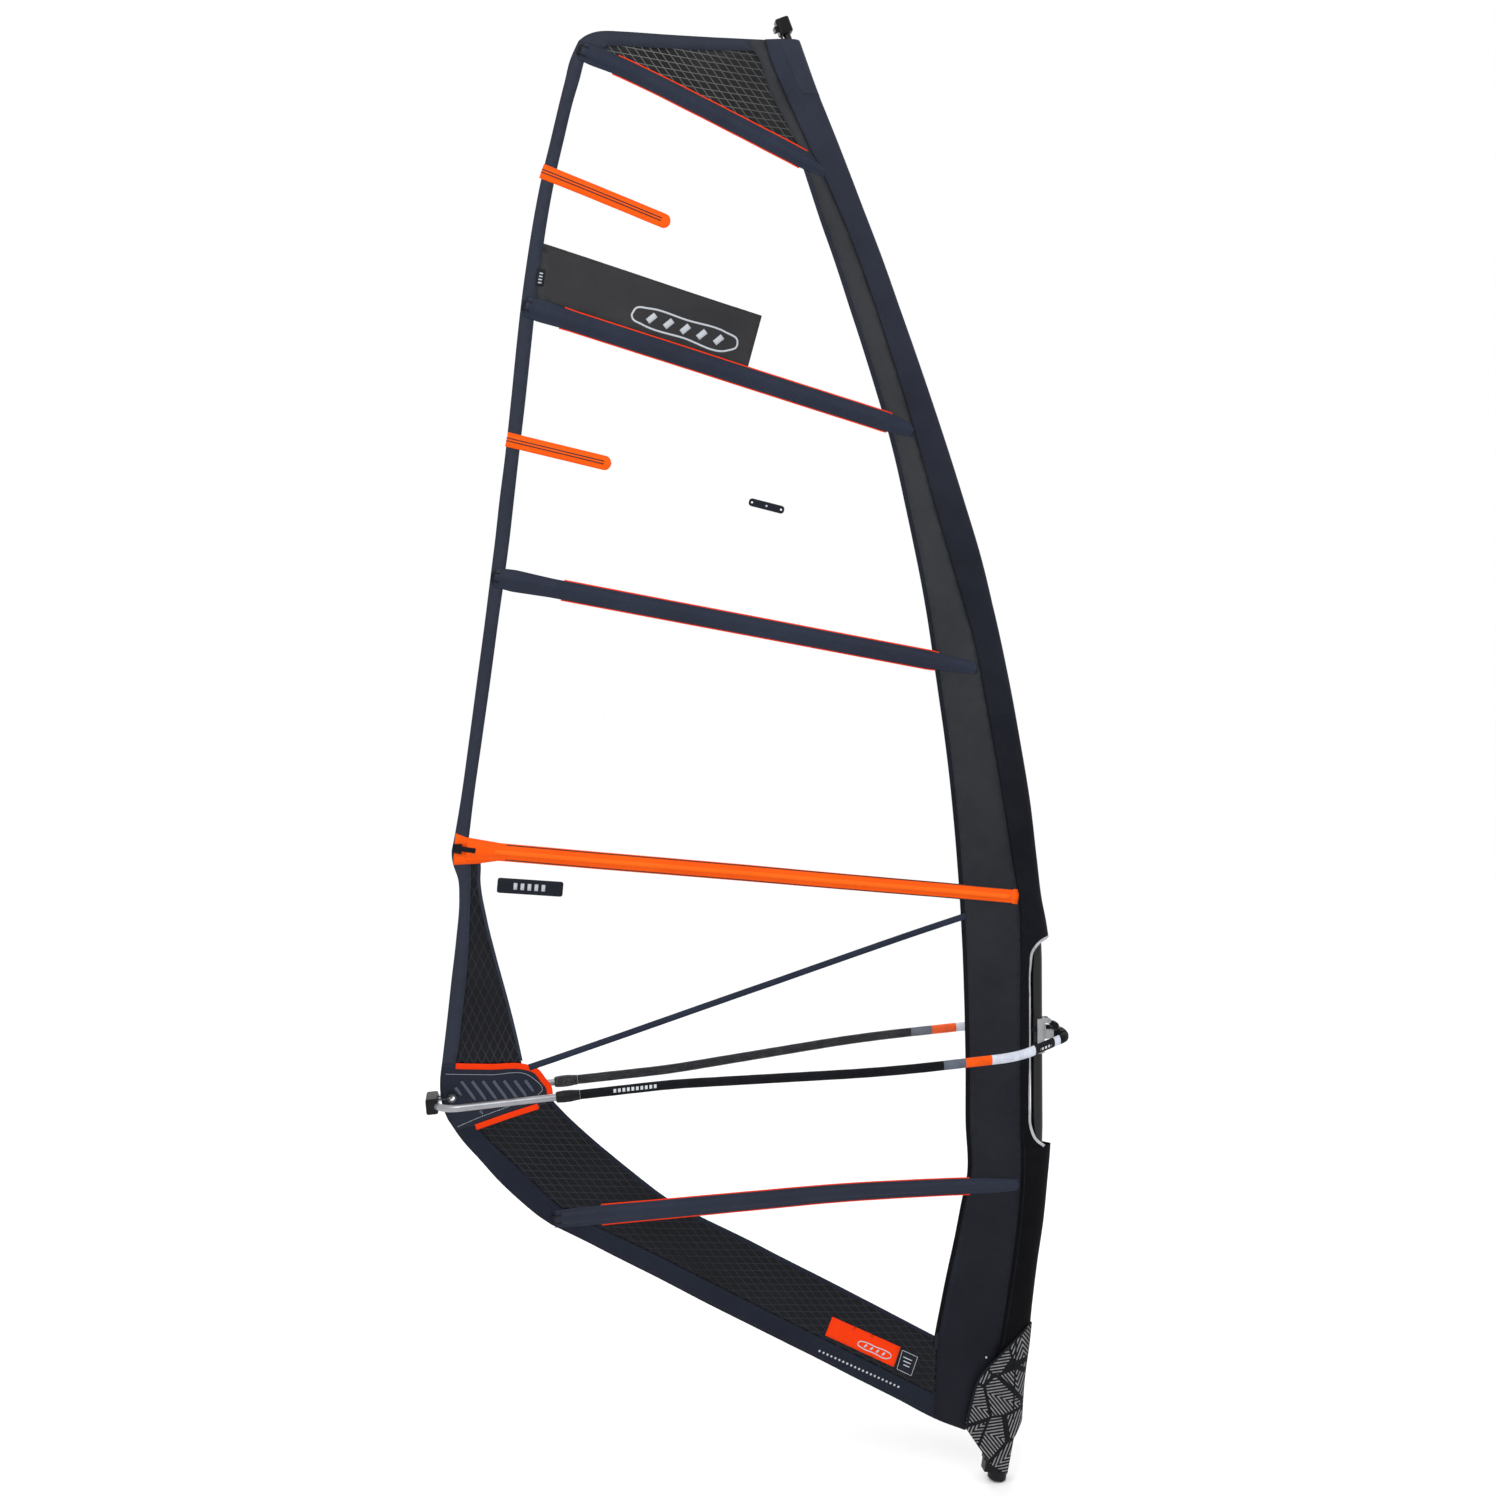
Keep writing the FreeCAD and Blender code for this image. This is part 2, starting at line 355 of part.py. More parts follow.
# ------------------------------------------------------------------ mast foot, in its own leaning frame
lean = math.degrees(math.atan(ku))
def foot_frame(s):
    s = s.copy(); s.rotate(V(0,0,0), V(0,1,0), lean); return s
def cyl(r, L, x, y, z, d):
    return Part.makeCylinder(r, L, V(x, y, z), V(*d))
base = cyl(30.0, 68.0, 0,0,-13, (0,0,1))
base = base.makeChamfer(4.0, [e for e in base.Edges if abs(e.BoundBox.ZMax - e.BoundBox.ZMin) < 0.01])
rear = Part.makeBox(50, 40, 42, V(-50, -20, 13))
base = base.fuse(rear)
horn = Part.makeBox(9, 30, 30, V(-55, -15, 50))
base = base.fuse(horn)
base = base.cut(cyl(14.0, 13.0, 0,0,-13, (0,0,1)))
base = base.cut(cyl(SOCKET_R, SOCKET_L, 0,0,0, (0,0,1)))
base = base.cut(cyl(EXT_R, 20, 0,0,42, (0,0,1)))
base = base.cut(Part.makeBox(9.0, 26.0, 40, V(-31.5, -13, 47)))          # slot for the turning sheave
base = base.fuse(Part.makeBox(5, 26, 22, V(-44.0, -13, 54))).fuse(cyl(3.0, 24.0, -42, 0, 66, (1,0,0)))
for y in (-9, 9):
    base = base.cut(cyl(LINE_R, 12, -49, y, 70, (0,0,1)))
base = base.cut(cyl(5.05, 18.0, 0, -37, 22, (0,1,0)))
put("extension_base", foot_frame(one(base.removeSplitter())))
ext = cyl(EXT_R, 388, 0,0,42, (0,0,1)).cut(cyl(EXT_R-2.0, 340, 0,0,92, (0,0,1)))
ext = ext.cut(Part.makeBox(30, 40, 50, V(-48, -20, 47)).common(cyl(40, 60, 0,0,45,(0,0,1)))) if False else ext
put("extension_tube", foot_frame(one(ext)))
put("extension_collar", foot_frame(cyl(20.5, 18, 0,0,167, (0,0,1)).cut(cyl(EXT_R+0.1, 18, 0,0,167, (0,0,1)))))
btn = cyl(5.0, 12.0, 0, -35.5, 22, (0,1,0))
put("base_release_button", foot_frame(btn))

def sheave(rf, rg, t, bore):
    """Grooved wheel about Z, centred on the origin."""
    pts = [(bore,-t/2),(rf,-t/2),(rf,-2.45),(rg,-2.35),(rg,2.35),(rf,2.45),(rf,t/2),(bore,t/2)]
    w = Part.makePolygon([V(r,0,z) for r, z in pts + [pts[0]]])
    return Part.Face(w).revolve(V(0,0,0), V(0,0,1), 360)
def place(s, pos, axis):
    s = s.copy()
    s.Placement = FreeCAD.Placement(V(*pos), FreeCAD.Rotation(V(0,0,1), V(*axis)))
    return s
TB = (-38.0, 125.0)          # tack sheaves, x and z in the foot frame
put("tack_sheave_near", foot_frame(place(sheave(13.0, 8.65, 8.0, 3.05), (TB[0], -9, TB[1]), (0,1,0))))
put("tack_sheave_far", foot_frame(place(sheave(13.0, 8.65, 8.0, 3.05), (TB[0], 9, TB[1]), (0,1,0))))
put("base_sheave", foot_frame(place(sheave(11.0, 6.65, 7.0, 3.05), (-27.0, 0, 66.0), (1,0,0))))
tb = None
for y0, y1 in ((-17,-13.6),(-4.4,4.4),(13.6,17)):
    q = Part.makeBox(30, y1-y0, 37, V(TB[0]-15, y0, 109)); tb = q if tb is None else tb.fuse(q)
tb = tb.fuse(Part.makeBox(30, 34, 6, V(TB[0]-15, -17, 140))).fuse(cyl(3.0, 34, TB[0], -17, TB[1], (0,1,0)))
put("tack_block", foot_frame(one(tb.removeSplitter())))
tbp = V(TB[0],0,146); 
tx = TB[0]*math.cos(math.radians(lean)) + 146*math.sin(math.radians(lean)); tz = 146*math.cos(math.radians(lean)) - TB[0]*math.sin(math.radians(lean))
web = []
for y in (-3.4, 1.1):
    p = [(-86,262),(-50,262),(-48,190),(tx+13,tz+5.5),(tx-13,tz+5.5),(-82,190)]
    f = Part.Face(Part.makePolygon([V(a, y, b) for a, b in p + [p[0]]]))
    web.append(f.extrude(V(0, 2.3, 0)))
bar = Part.makeBox(26, 6.8, 5.5, V(tx-13, -3.4, tz+0.2))
web_all = web[0].fuse(bar).fuse(web[1])
put("tack_webbing", one(web_all.removeSplitter().cut(OUT["tack_block"])))

def rope(edges, r, start, d):
    w = Part.Wire(edges)
    s = sweep(w, r, start, d)
    print("rope section x length %.1f, volume %.1f, length %.1f" % (math.pi*r*r*w.Length, s.Volume, w.Length))
    return s
def arc3(a, b, c): return Part.Arc(V(*a), V(*b), V(*c)).toShape()
xa, xb = TB[0]-11, TB[0]+11
dl = [Part.makeLine(V(xa,-9,70.5), V(xa,-9,TB[1])), arc3((xa,-9,TB[1]),(TB[0],-9,TB[1]+11),(xb,-9,TB[1])),
      Part.makeLine(V(xb,-9,TB[1]), V(xb,-9,66)), arc3((xb,-9,66),(xb,0,57),(xb,9,66)), Part.makeLine(V(xb,9,66), V(xb,9,TB[1])),
      arc3((xb,9,TB[1]),(TB[0],9,TB[1]+11),(xa,9,TB[1])), Part.makeLine(V(xa,9,TB[1]), V(xa,9,70.5))]
put("downhaul_line", foot_frame(rope(dl, LINE_R, V(xa,-9,70.5), V(0,0,1))))

# tack fairing: a skin round the foot of the sleeve, open at the back and below
def fair(off):
    ws = []
    for z, h in ((-5,35),(60,35),(120,33),(180,29),(240,26.5),(330,24.9),(420,24.6),(520,24.6)):
        xm = mast_x(z)
        xf = max(lerp(FRONT, z), xm+r_front(z)) + 3.0
        ws.append(tear(z, -128.0 + (0 if off == 0 else 5.0), xm, xf+off, h+off, 4.6 if off == 0 else 2.6))
    return Part.makeLoft(ws, True, False)
def r_front(z): return 30.0 if z < 100 else 22.0
fshell = fair(0.0).cut(fair(-2.2)).cut(sleeve_solid(0.5, 2.4, -0.5)).common(region(("l", FAIRING + [FAIRING[0]])))
put("tack_fairing", one(fshell))

# ------------------------------------------------------------------ head of the mast
hp = V(-701, 0, 4491)
hr = FreeCAD.Rotation(V(0,0,1), tip_dir)
cap = Part.makeBox(42, 42, 46, V(-21,-21,-23))
cap = cap.makeFillet(9.0, [e for e in cap.Edges if abs(e.tangentAt(e.FirstParameter).z) > 0.9])
cap = cap.makeChamfer(3.0, [e for e in cap.Edges if e.BoundBox.ZMax < -22.9 or e.BoundBox.ZMin > 22.9])
cap = cap.cut(cyl(11.6, 26, 0,0,-30,(0,0,1)))
cap = cap.cut(Part.makeBox(3.4, 26, 60, V(-17.5,-13,-30)))
cap.Placement = FreeCAD.Placement(hp, hr)
cap = cap.cut(OUT["mast_top"])
st = Part.makeBox(1.8, 24, 88, V(-16.7,-12,-62))
lug = Part.makeBox(9, 26, 14, V(-30.5,-13,-8)).cut(Part.makeBox(3, 20, 20, V(-27.5,-10,-11)))
st.Placement = FreeCAD.Placement(hp, hr); lug.Placement = FreeCAD.Placement(hp, hr)
st = st.cut(S_out).cut(SLAB).cut(OUT["mast_top"])
put("head_strap", one(st))
put("head_cap", Part.Compound([one(cap), one(lug)]))

# ------------------------------------------------------------------ boom, in its own frame: x forwards, front bar on the origin
bt = math.radians(BOOM_TILT)
def boom_frame(s):
    s = s.copy()
    s.rotate(V(0,0,0), V(0,1,0), -BOOM_TILT); s.translate(V(BOOM_HUB[0], 0, BOOM_HUB[1])); return s
def fillet_path(pts, radii):
    """Straight runs joined by tangent arcs in the XY plane."""
    P = [V(p[0], p[1], 0) for p in pts]
    edges, cur = [], P[0]
    for i in range(1, len(P)-1):
        a, b, c = P[i-1], P[i], P[i+1]
        d0 = (b-a); d0.normalize(); d1 = (c-b); d1.normalize()
        ang = d0.getAngle(d1); t = radii[i-1]*math.tan(ang/2)
        s, e = b - d0*t, b + d1*t
        bis = (d1-d0); bis.normalize()
        m = b + bis*(radii[i-1]/math.cos(ang/2) - radii[i-1])
        edges.append(Part.makeLine(cur, s)); edges.append(Part.Arc(s, m, e).toShape()); cur = e
    edges.append(Part.makeLine(cur, P[-1]))
    return edges
HALF = [(-1590,ARM_HALF),(-1240,ARM_HALF),(-600,217),(-200,214),(0,52)]
full = [(x,-y) for x, y in HALF] + HALF[::-1]
rad = [700,1500,200,45,45,200,1500,700]
path = fillet_path(full, rad)
def bsweep(r):
    return Part.Wire(path).makePipeShell([Part.Wire([Part.makeCircle(r, V(-1590,-ARM_HALF,0), V(1,0,0))])], True, False)
tube = bsweep(ARM_R).cut(bsweep(ARM_BORE_R))
put("boom_arms", boom_frame(one(tube)))
gr = bsweep(GRIP_R).cut(bsweep(ARM_R)).cut(Part.makeBox(60, 62.6, 60, V(-30,-31.3,-30))).cut(Part.makeBox(300, 400, 60, V(-1824,-200,-30)))
gs = solids(gr)
near = [s for s in gs if s.CenterOfMass.y < 0]; far = [s for s in gs if s.CenterOfMass.y > 0]
put("boom_grip_near", boom_frame(Part.Compound(near) if len(near) > 1 else near[0]))
put("boom_grip_far", boom_frame(Part.Compound(far) if len(far) > 1 else far[0]))
cols = []
for y in (-31.0, 12.4):
    cols.append(cyl(16.5, 18.6, 0, y, 0, (0,1,0)).makeFillet(2.5, [e for e in cyl(16.5, 18.6, 0, y, 0, (0,1,0)).Edges][:0]) if False else cyl(16.5, 18.6, 0, y, 0, (0,1,0)).cut(cyl(ARM_R, 18.6, 0, y, 0, (0,1,0))))
put("front_hub_collars", boom_frame(Part.Compound(cols)))
def revolve_x(prof, y):
    w = Part.makePolygon([V(x, 0, r) for x, r in prof + [prof[0]]])
    s = Part.Face(w).revolve(V(0,0,0), V(1,0,0), 360); s.translate(V(0, y, 0)); return s
prof = [(-1596,TAIL_R+0.35),(-1596,14.0),(-1592,16.5),(-1572,18.2),(-1552,17.8),(-1534,15.6),(-1525,15.2),(-1525,ARM_R),(-1590,ARM_R),(-1590,TAIL_R+0.35)]
CLIPX = -1560.0
for nm, y in (("near", -ARM_HALF), ("far", ARM_HALF)):
    s = 1 if y < 0 else -1                       # the clip is on the side that faces the sail
    col = revolve_x(prof, y)
    col = col.fuse(Part.makeBox(16, 5.0, 14, V(CLIPX-8, y + (15.5 if s > 0 else -20.5), -7)))
    col = col.cut(cyl(ARM_R, 90, -1610+20, y, 0, (1,0,0)))
    col = col.cut(Part.makeBox(16.2, 6.7, 8.6, V(CLIPX-8.1, y + (16.5 if s > 0 else -23.2), -4.3)))
    pinc = cyl(1.5, 14, CLIPX, y + s*19.3, -7, (0,0,1))
    col = col.fuse(pinc)
    put("tail_collar_" + nm, boom_frame(one(col.removeSplitter())))
    clip = cyl(2.6, 8.0, CLIPX, y + s*19.3, -4.0, (0,0,1))
    lever = Part.makeBox(26, 2.6, 8.0, V(CLIPX+0.5, (y + 18.9) if s > 0 else (y - 21.5), -4.0))
    clip = clip.fuse(lever).cut(cyl(1.55, 20, CLIPX, y + s*19.3, -10, (0,0,1)))
    clip = clip.cut(revolve_x([(-1596,0),(-1596,18.6),(-1525,18.6),(-1525,0)], y))
    put("tail_clip_" + nm, boom_frame(one(clip.removeSplitter())))

# tail: a bent tube that slides in both arms, with an end fitting
tp = fillet_path([(-1322,-ARM_HALF),(TAIL_X,-ARM_HALF),(TAIL_X,ARM_HALF),(-1322,ARM_HALF)], [80,80])
def tsweep(r):
    return Part.Wire(tp).makePipeShell([Part.Wire([Part.makeCircle(r, V(-1322,-ARM_HALF,0), V(-1,0,0))])], True, False)
TS = tsweep(TAIL_R)
put("tail_tube", boom_frame(one(TS.cut(tsweep(TAIL_R-1.8)))))
fit = Part.makeBox(36, 92, 48, V(-1984,-46,-23))
fit = fit.makeFillet(7.0, [e for e in fit.Edges if abs(e.tangentAt(e.FirstParameter).y) > 0.9])
fit = fit.makeChamfer(2.5, [e for e in fit.Edges if e.BoundBox.YMax < -45.9 or e.BoundBox.YMin > 45.9])
# plane of the outhaul: through the clew ring and the tail sheave
rx = (RING[0]-BOOM_HUB[0])*math.cos(bt) + (RING[1]-BOOM_HUB[1])*math.sin(bt)
rz = -(RING[0]-BOOM_HUB[0])*math.sin(bt) + (RING[1]-BOOM_HUB[1])*math.cos(bt)
SX, SZ = -1966.0, 17.5
oa = math.degrees(math.atan2(SZ-rz, rx-SX))      # rise towards the tail
def oframe(s):
    """Outhaul frame: origin at the clew ring, x towards the sail, z across the sheave."""
    s = s.copy(); s.rotate(V(0,0,0), V(0,1,0), oa); s.translate(V(rx, 0, rz)); return s
DS = math.hypot(rx-SX, SZ-rz)
slot = oframe(Part.makeBox(46, 62, 8.4, V(-DS-12.5, -20, -4.2)))
fit = fit.cut(slot).cut(TS)
axle = oframe(cyl(3.0, 22, -DS, 27, -11, (0,0,1)))
fit = fit.fuse(axle.common(Part.makeBox(36, 92, 47, V(-1984,-46,-22)))).cut(TS)
put("tail_fitting", boom_frame(one(fit)))
put("tail_sheave", boom_frame(oframe(place(sheave(11.6, 7.65, 7.0, 3.05), (-DS, 27, 0), (0,0,1)))))
ol = [Part.makeLine(V(-DS-6,-17,0), V(-17,-17,0)), Part.Arc(V(-17,-17,0), V(0,0,0), V(-17,17,0)).toShape(), Part.makeLine(V(-17,17,0), V(-DS,17,0)),
      Part.Arc(V(-DS,17,0), V(-DS-10,27,0), V(-DS,37,0)).toShape(), Part.makeLine(V(-DS,37,0), V(-DS+10,37,0))]
orope = rope(ol, LINE_R, V(-DS-6,-17,0), V(1,0,0))
put("outhaul_line", boom_frame(oframe(orope)))

# ------------------------------------------------------------------ boom head: clamp round the mast
cz = 1427.0
cx = MAST_CUT_LO[0] + (cz-1150)*(MAST_CUT_HI[0]-MAST_CUT_LO[0])/500.0
def clamp_frame(s):
    s = s.copy()
    s.Placement = FreeCAD.Placement(V(cx,0,cz), FreeCAD.Rotation(V(0,0,1), cut_dir)).multiply(s.Placement); return s
def sector(r0, r1, z0, z1, a0, a1):
    s = cyl(r1, z1-z0, 0,0,z0,(0,0,1)).cut(cyl(r0, z1-z0, 0,0,z0,(0,0,1)))
    pts = [V(0,0,z0)] + [V(80*math.cos(math.radians(a0+(a1-a0)*k/8.0)), 80*math.sin(math.radians(a0+(a1-a0)*k/8.0)), z0) for k in range(9)] + [V(0,0,z0)]
    return s.common(Part.Face(Part.makePolygon(pts)).extrude(V(0,0,z1-z0)))
cr = sector(MAST_R+0.3, 26.0, -54, 56, -98, 98)
dx_, dz_ = BOOM_HUB[0]-cx, BOOM_HUB[1]-cz
hx, hz = dx_*cut_dir.z - dz_*cut_dir.x, dx_*cut_dir.x + dz_*cut_dir.z
arm = Part.makeBox(hx-22-8, 21, 26, V(22, -10.5, hz-13))
ringb = cyl(19.0, 24.0, hx, -12, hz, (0,1,0))
LP = (35.5, 48.0)         # lever pivot in the clamp frame
ears = None
for y0 in (-15.5, 10.3):
    q = Part.makeBox(LP[0]-20, 5.2, 17, V(20, y0, LP[1]-8.5)).fuse(cyl(8.5, 5.2, LP[0], y0, LP[1], (0,1,0)))
    ears = q if ears is None else ears.fuse(q)
cr = cr.fuse(arm).fuse(ringb).fuse(ears)
cr = cr.cut(cyl(ARM_R+0.06, 40, hx, -20, hz, (0,1,0))).cut(cyl(MAST_R+0.3, 200, 0,0,-100,(0,0,1)))
cr = cr.cut(cyl(3.0, 60, LP[0], -30, LP[1], (0,1,0)))
put("clamp_body", clamp_frame(one(cr.removeSplitter())))
put("lever_pin", clamp_frame(cyl(3.0, 33, LP[0], -16.5, LP[1], (0,1,0))))
sb = []
for z0, z1 in ((14,30),(-36,-20)):
    sb.append(sector(MAST_R+0.3, 21.8, z0, z1, 98, 262))
put("clamp_straps", clamp_frame(Part.Compound(sb)))
lv = cyl(7.5, 20.0, LP[0], -10, LP[1], (0,1,0))
d = (58.5, 30.0)
ang = math.atan2(d[1]-LP[1], d[0]-LP[0]); Ld = math.hypot(d[0]-LP[0], d[1]-LP[1])
bx = Part.makeBox(Ld, 20.0, 15, V(0,-10,-7.5)); bx.rotate(V(0,0,0), V(0,1,0), -math.degrees(ang)); bx.translate(V(LP[0],0,LP[1]))
lv = lv.fuse(bx).fuse(cyl(11.5, 26.0, d[0], -13, d[1], (0,1,0)))
lv = lv.cut(cyl(3.05, 60, LP[0], -30, LP[1], (0,1,0)))
lv = lv.cut(cyl(8.7, 4.0, LP[0], -15.6, LP[1], (0,1,0)))
lv = lv.cut(Part.makeBox(60, 40, 30, V(20, -20, hz+13.4-30)))
put("clamp_lever", clamp_frame(one(lv.removeSplitter())))

# ------------------------------------------------------------------ seams: nothing passes into the sleeve
def recut(name, *tools):
    q = OUT[name]
    for t in tools:
        q = q.cut(t)
    OUT[name] = one(q)
S_clear = sleeve_solid(0.15, 1.6, -0.15)
for n in ["luff_panel"] + ["batten_pocket_%d" % k for k in range(1, 6)]:
    recut(n, S_clear)
OUT["battens"] = Part.Compound([q.cut(S_clear) for q in OUT["battens"].Solids])
recut("insignia_panel", OUT["batten_pocket_2"])
recut("tack_webbing", OUT["luff_panel"])

# ------------------------------------------------------------------ write
for n, s in sorted(OUT.items()):
    s.exportStep("parts/%s.step" % n)
print(len(OUT), "nodes")
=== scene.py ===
import bpy, bmesh, math, random
import numpy as np
from mathutils import Vector, Matrix, geometry


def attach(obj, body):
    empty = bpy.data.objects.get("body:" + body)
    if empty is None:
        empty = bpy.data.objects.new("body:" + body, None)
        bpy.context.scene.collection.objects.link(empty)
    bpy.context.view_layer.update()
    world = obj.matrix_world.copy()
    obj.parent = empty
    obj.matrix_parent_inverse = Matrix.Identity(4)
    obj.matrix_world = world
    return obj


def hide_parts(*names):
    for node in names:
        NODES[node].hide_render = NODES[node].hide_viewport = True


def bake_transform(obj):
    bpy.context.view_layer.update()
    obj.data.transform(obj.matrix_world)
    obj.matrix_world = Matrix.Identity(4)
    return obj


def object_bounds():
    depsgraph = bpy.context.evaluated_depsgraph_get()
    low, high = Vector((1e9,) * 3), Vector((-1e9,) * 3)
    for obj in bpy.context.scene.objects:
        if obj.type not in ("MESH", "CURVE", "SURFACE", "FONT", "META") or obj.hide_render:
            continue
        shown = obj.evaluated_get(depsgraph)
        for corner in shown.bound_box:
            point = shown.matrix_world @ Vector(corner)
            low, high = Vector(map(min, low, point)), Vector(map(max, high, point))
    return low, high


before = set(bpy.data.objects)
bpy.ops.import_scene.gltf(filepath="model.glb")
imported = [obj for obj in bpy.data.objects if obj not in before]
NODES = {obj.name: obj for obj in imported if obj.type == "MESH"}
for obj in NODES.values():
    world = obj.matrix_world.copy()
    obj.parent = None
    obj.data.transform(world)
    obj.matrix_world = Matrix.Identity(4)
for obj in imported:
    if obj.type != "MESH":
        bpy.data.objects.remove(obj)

CAD_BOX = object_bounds()
random.seed(7)
MM = 0.001

# ============================================================ outline tables, (X, Z) in mm
SEAM = [(-756.3,4451.4),(-738.2,4393.5),(-696.0,4299.6),(-659.6,4222.5),(-617.0,4136.5),(-583.5,4075.0),(-552.8,4012.0),(-497.3,3887.7),(-438.3,3738.2),(-378.7,3569.8),(-318.6,3388.0),(-251.4,3162.3),(-177.1,2919.2),(-102.0,2673.6),(-58.6,2472.2),(-11.1,2222.3),(33.5,1970.2),(52.5,1855.0),(59.0,1732.1),(61.2,1540.9),(63.5,1348.7),(65.8,1155.5),(68.1,961.3),(56.9,799.3),(32.9,604.6),(5.3,425.8),(-32.3,247.1),(-44.6,165.3)]
FRONT = [(-654.1,4455.0),(-588.7,4283.5),(-539.7,4168.5),(-468.7,3994.7),(-397.2,3819.5),(-331.2,3642.5),(-264.7,3464.1),(-200.7,3284.1),(-139.4,3102.7),(-80.7,2919.7),(-34.3,2735.3),(9.3,2549.5),(46.7,2362.4),(81.1,2174.0),(106.1,1984.6),(123.9,1857.6),(138.0,1793.9),(148.4,1729.9),(155.8,1538.1),(161.6,1345.3),(164.1,1151.6),(163.5,1070.7),(155.2,957.4),(143.7,827.7),(125.6,697.9),(110.7,567.7),(99.1,436.9),(84.1,305.9),(77.2,190.6)]
LEECH = [(-1307.6,4423.4),(-1316.8,4404.5),(-1332.5,4368.3),(-1347.5,4310.6),(-1362.5,4252.9),(-1391.0,4137.3),(-1419.7,4021.7),(-1443.0,3906.0),(-1462.5,3790.1),(-1479.7,3674.1),(-1493.9,3557.8),(-1513.2,3382.8),(-1533.9,3207.1),(-1550.0,3089.6),(-1564.2,2971.8),(-1579.0,2862.5),(-1596.1,2735.2),(-1621.6,2557.0),(-1647.2,2378.2),(-1674.0,2198.7),(-1697.0,2072.0),(-1702.9,2042.7),(-1700.3,2012.5),(-1684.0,1957.8),(-1682.0,1897.2),(-1692.8,1776.2),(-1708.0,1654.9),(-1722.5,1533.3),(-1738.0,1411.4),(-1745.6,1350.3),(-1744.7,1304.2),(-1736.9,1262.0),(-1723.4,1226.4)]
CLEWLOW = [(-1723.4,1226.4),(-1682.3,1163.0),(-1629.1,1098.8),(-1575.6,1034.4),(-1509.8,967.0),(-1455.0,917.0),(-1416.4,888.0)]
FOOT = [(-1416.4,888.0),(-1319.0,834.6),(-1199.6,765.5),(-1076.1,695.7),(-957.8,625.7),(-832.4,554.7),(-705.8,483.2),(-578.3,411.1),(-452.9,338.6),(-323.2,265.2),(-195.7,191.5),(-109.3,153.0)]
HEADTOP = [(-756.3,4451.4),(-889.6,4454.4),(-1001.3,4455.8),(-1091.9,4456.6),(-1182.8,4457.3),(-1230.0,4456.2),(-1250.8,4453.5),(-1271.9,4447.1),(-1292.7,4436.1),(-1307.6,4423.4)]
LUFF_IN = [(-647.0,4138.9),(-619.3,4058.3),(-576.0,3933.6),(-532.7,3816.9),(-492.2,3699.4),(-451.5,3581.2),(-412.2,3462.3),(-356.7,3282.7),(-298.3,3041.0),(-245.6,2796.7),(-204.8,2549.9),(-167.2,2300.8),(-138.7,2049.4),(-119.7,1827.5),(-112.1,1700.4),(-104.0,1509.0),(-99.3,1348.8),(-97.2,1155.3),(-91.8,970.2),(-107.2,895.9),(-131.5,766.0),(-159.5,636.4),(-184.9,507.2),(-196.5,449.9)]
HEADDIAG = [(-788.8,4418.3),(-770.0,4391.1),(-740.7,4300.2),(-664.0,4163.8),(-647.0,4138.9)]
LEECH_IN = [(-1650.7,2084.0),(-1636.0,2198.1),(-1608.9,2377.8),(-1581.9,2556.9),(-1556.4,2735.2),(-1535.9,2871.5),(-1521.6,2972.0),(-1507.2,3090.0),(-1492.9,3207.6),(-1470.7,3383.5),(-1450.5,3558.7),(-1435.8,3683.9),(-1420.2,3791.3),(-1402.2,3907.3),(-1379.8,4023.1),(-1352.1,4138.9),(-1323.1,4254.5),(-1305.2,4312.4),(-1291.7,4364.4)]
LEECH_LOW_IN = [(-1698.3,1396.7),(-1692.6,1425.1),(-1674.6,1562.3),(-1657.9,1714.4),(-1648.4,1896.5),(-1645.0,1987.2),(-1650.7,2084.0)]
CLEW_IN = [(-1632.0,2047.0),(-1622.0,2009.4),(-1623.0,1956.6),(-1604.5,1834.7),(-1576.0,1711.9),(-1544.4,1588.3),(-1515.6,1464.0),(-1501.2,1392.3)]
PATCH = [(-1698.3,1396.7),(-1490.7,1386.2),(-1475.6,1381.2),(-1459.7,1372.0),(-1435.2,1337.5),(-1416.8,1314.5),(-1412.8,1292.0),(-1419.0,1275.0),(-1451.3,1261.0),(-1641.1,1206.0),(-1701.4,1191.6)]
FOOT_UP = [(-1419.0,1275.0),(-1358.6,1208.1),(-1291.8,1142.2),(-1218.4,1075.6),(-1141.4,1008.4),(-1066.0,946.3),(-986.0,895.0),(-938.9,868.6),(-813.0,800.0),(-689.0,728.9),(-560.8,657.0),(-434.8,585.0),(-308.2,513.0),(-196.5,449.9)]
HEM_IN = [(-1641.1,1206.0),(-1607.3,1165.9),(-1532.8,1088.2),(-1463.9,1016.6),(-1418.8,968.6),(-1375.5,930.4),(-1266.6,869.2),(-1143.7,803.0),(-957.4,697.9),(-768.7,591.4),(-597.5,493.9),(-448.8,410.6),(-302.4,329.3),(-207.4,277.3)]
NOTCH = [(260.0,1741.1),(145.0,1741.1),(114.3,1724.4),(95.1,1699.4),(87.5,1651.8),(87.3,1540.2),(89.6,1347.8),(91.0,1186.8),(95.4,1138.2),(112.3,1098.7),(138.8,1078.2),(260.0,1074.3)]
OFFN = [(260,1750.5),(146,1750.5),(108.5,1731.5),(87.3,1703.0),(79.0,1652.0),(78.8,1540.0),(81.1,1347.8),(82.5,1186.8),(87.2,1136.0),(106.0,1091.5),(136.5,1068.8),(260,1065.5)]
FAIRING = [(93.4,496.4),(7.7,413.9),(-69.1,328.2),(-97.5,228.5),(-109.2,166.5),(-32.3,52.3),(23.0,15.7),(43.6,127.8),(79.3,183.8),(98.4,408.6)]
INSIGNIA = [(-1414.5,3839.7),(-761.2,3649.9),(-804.2,3493.1),(-949.2,3537.0),(-1349.7,3651.0),(-1437.0,3678.0),(-1428.0,3750.0)]
TRIM_TAG = (-745.0, 3081.5, 112.0, 24.0, -13.5)
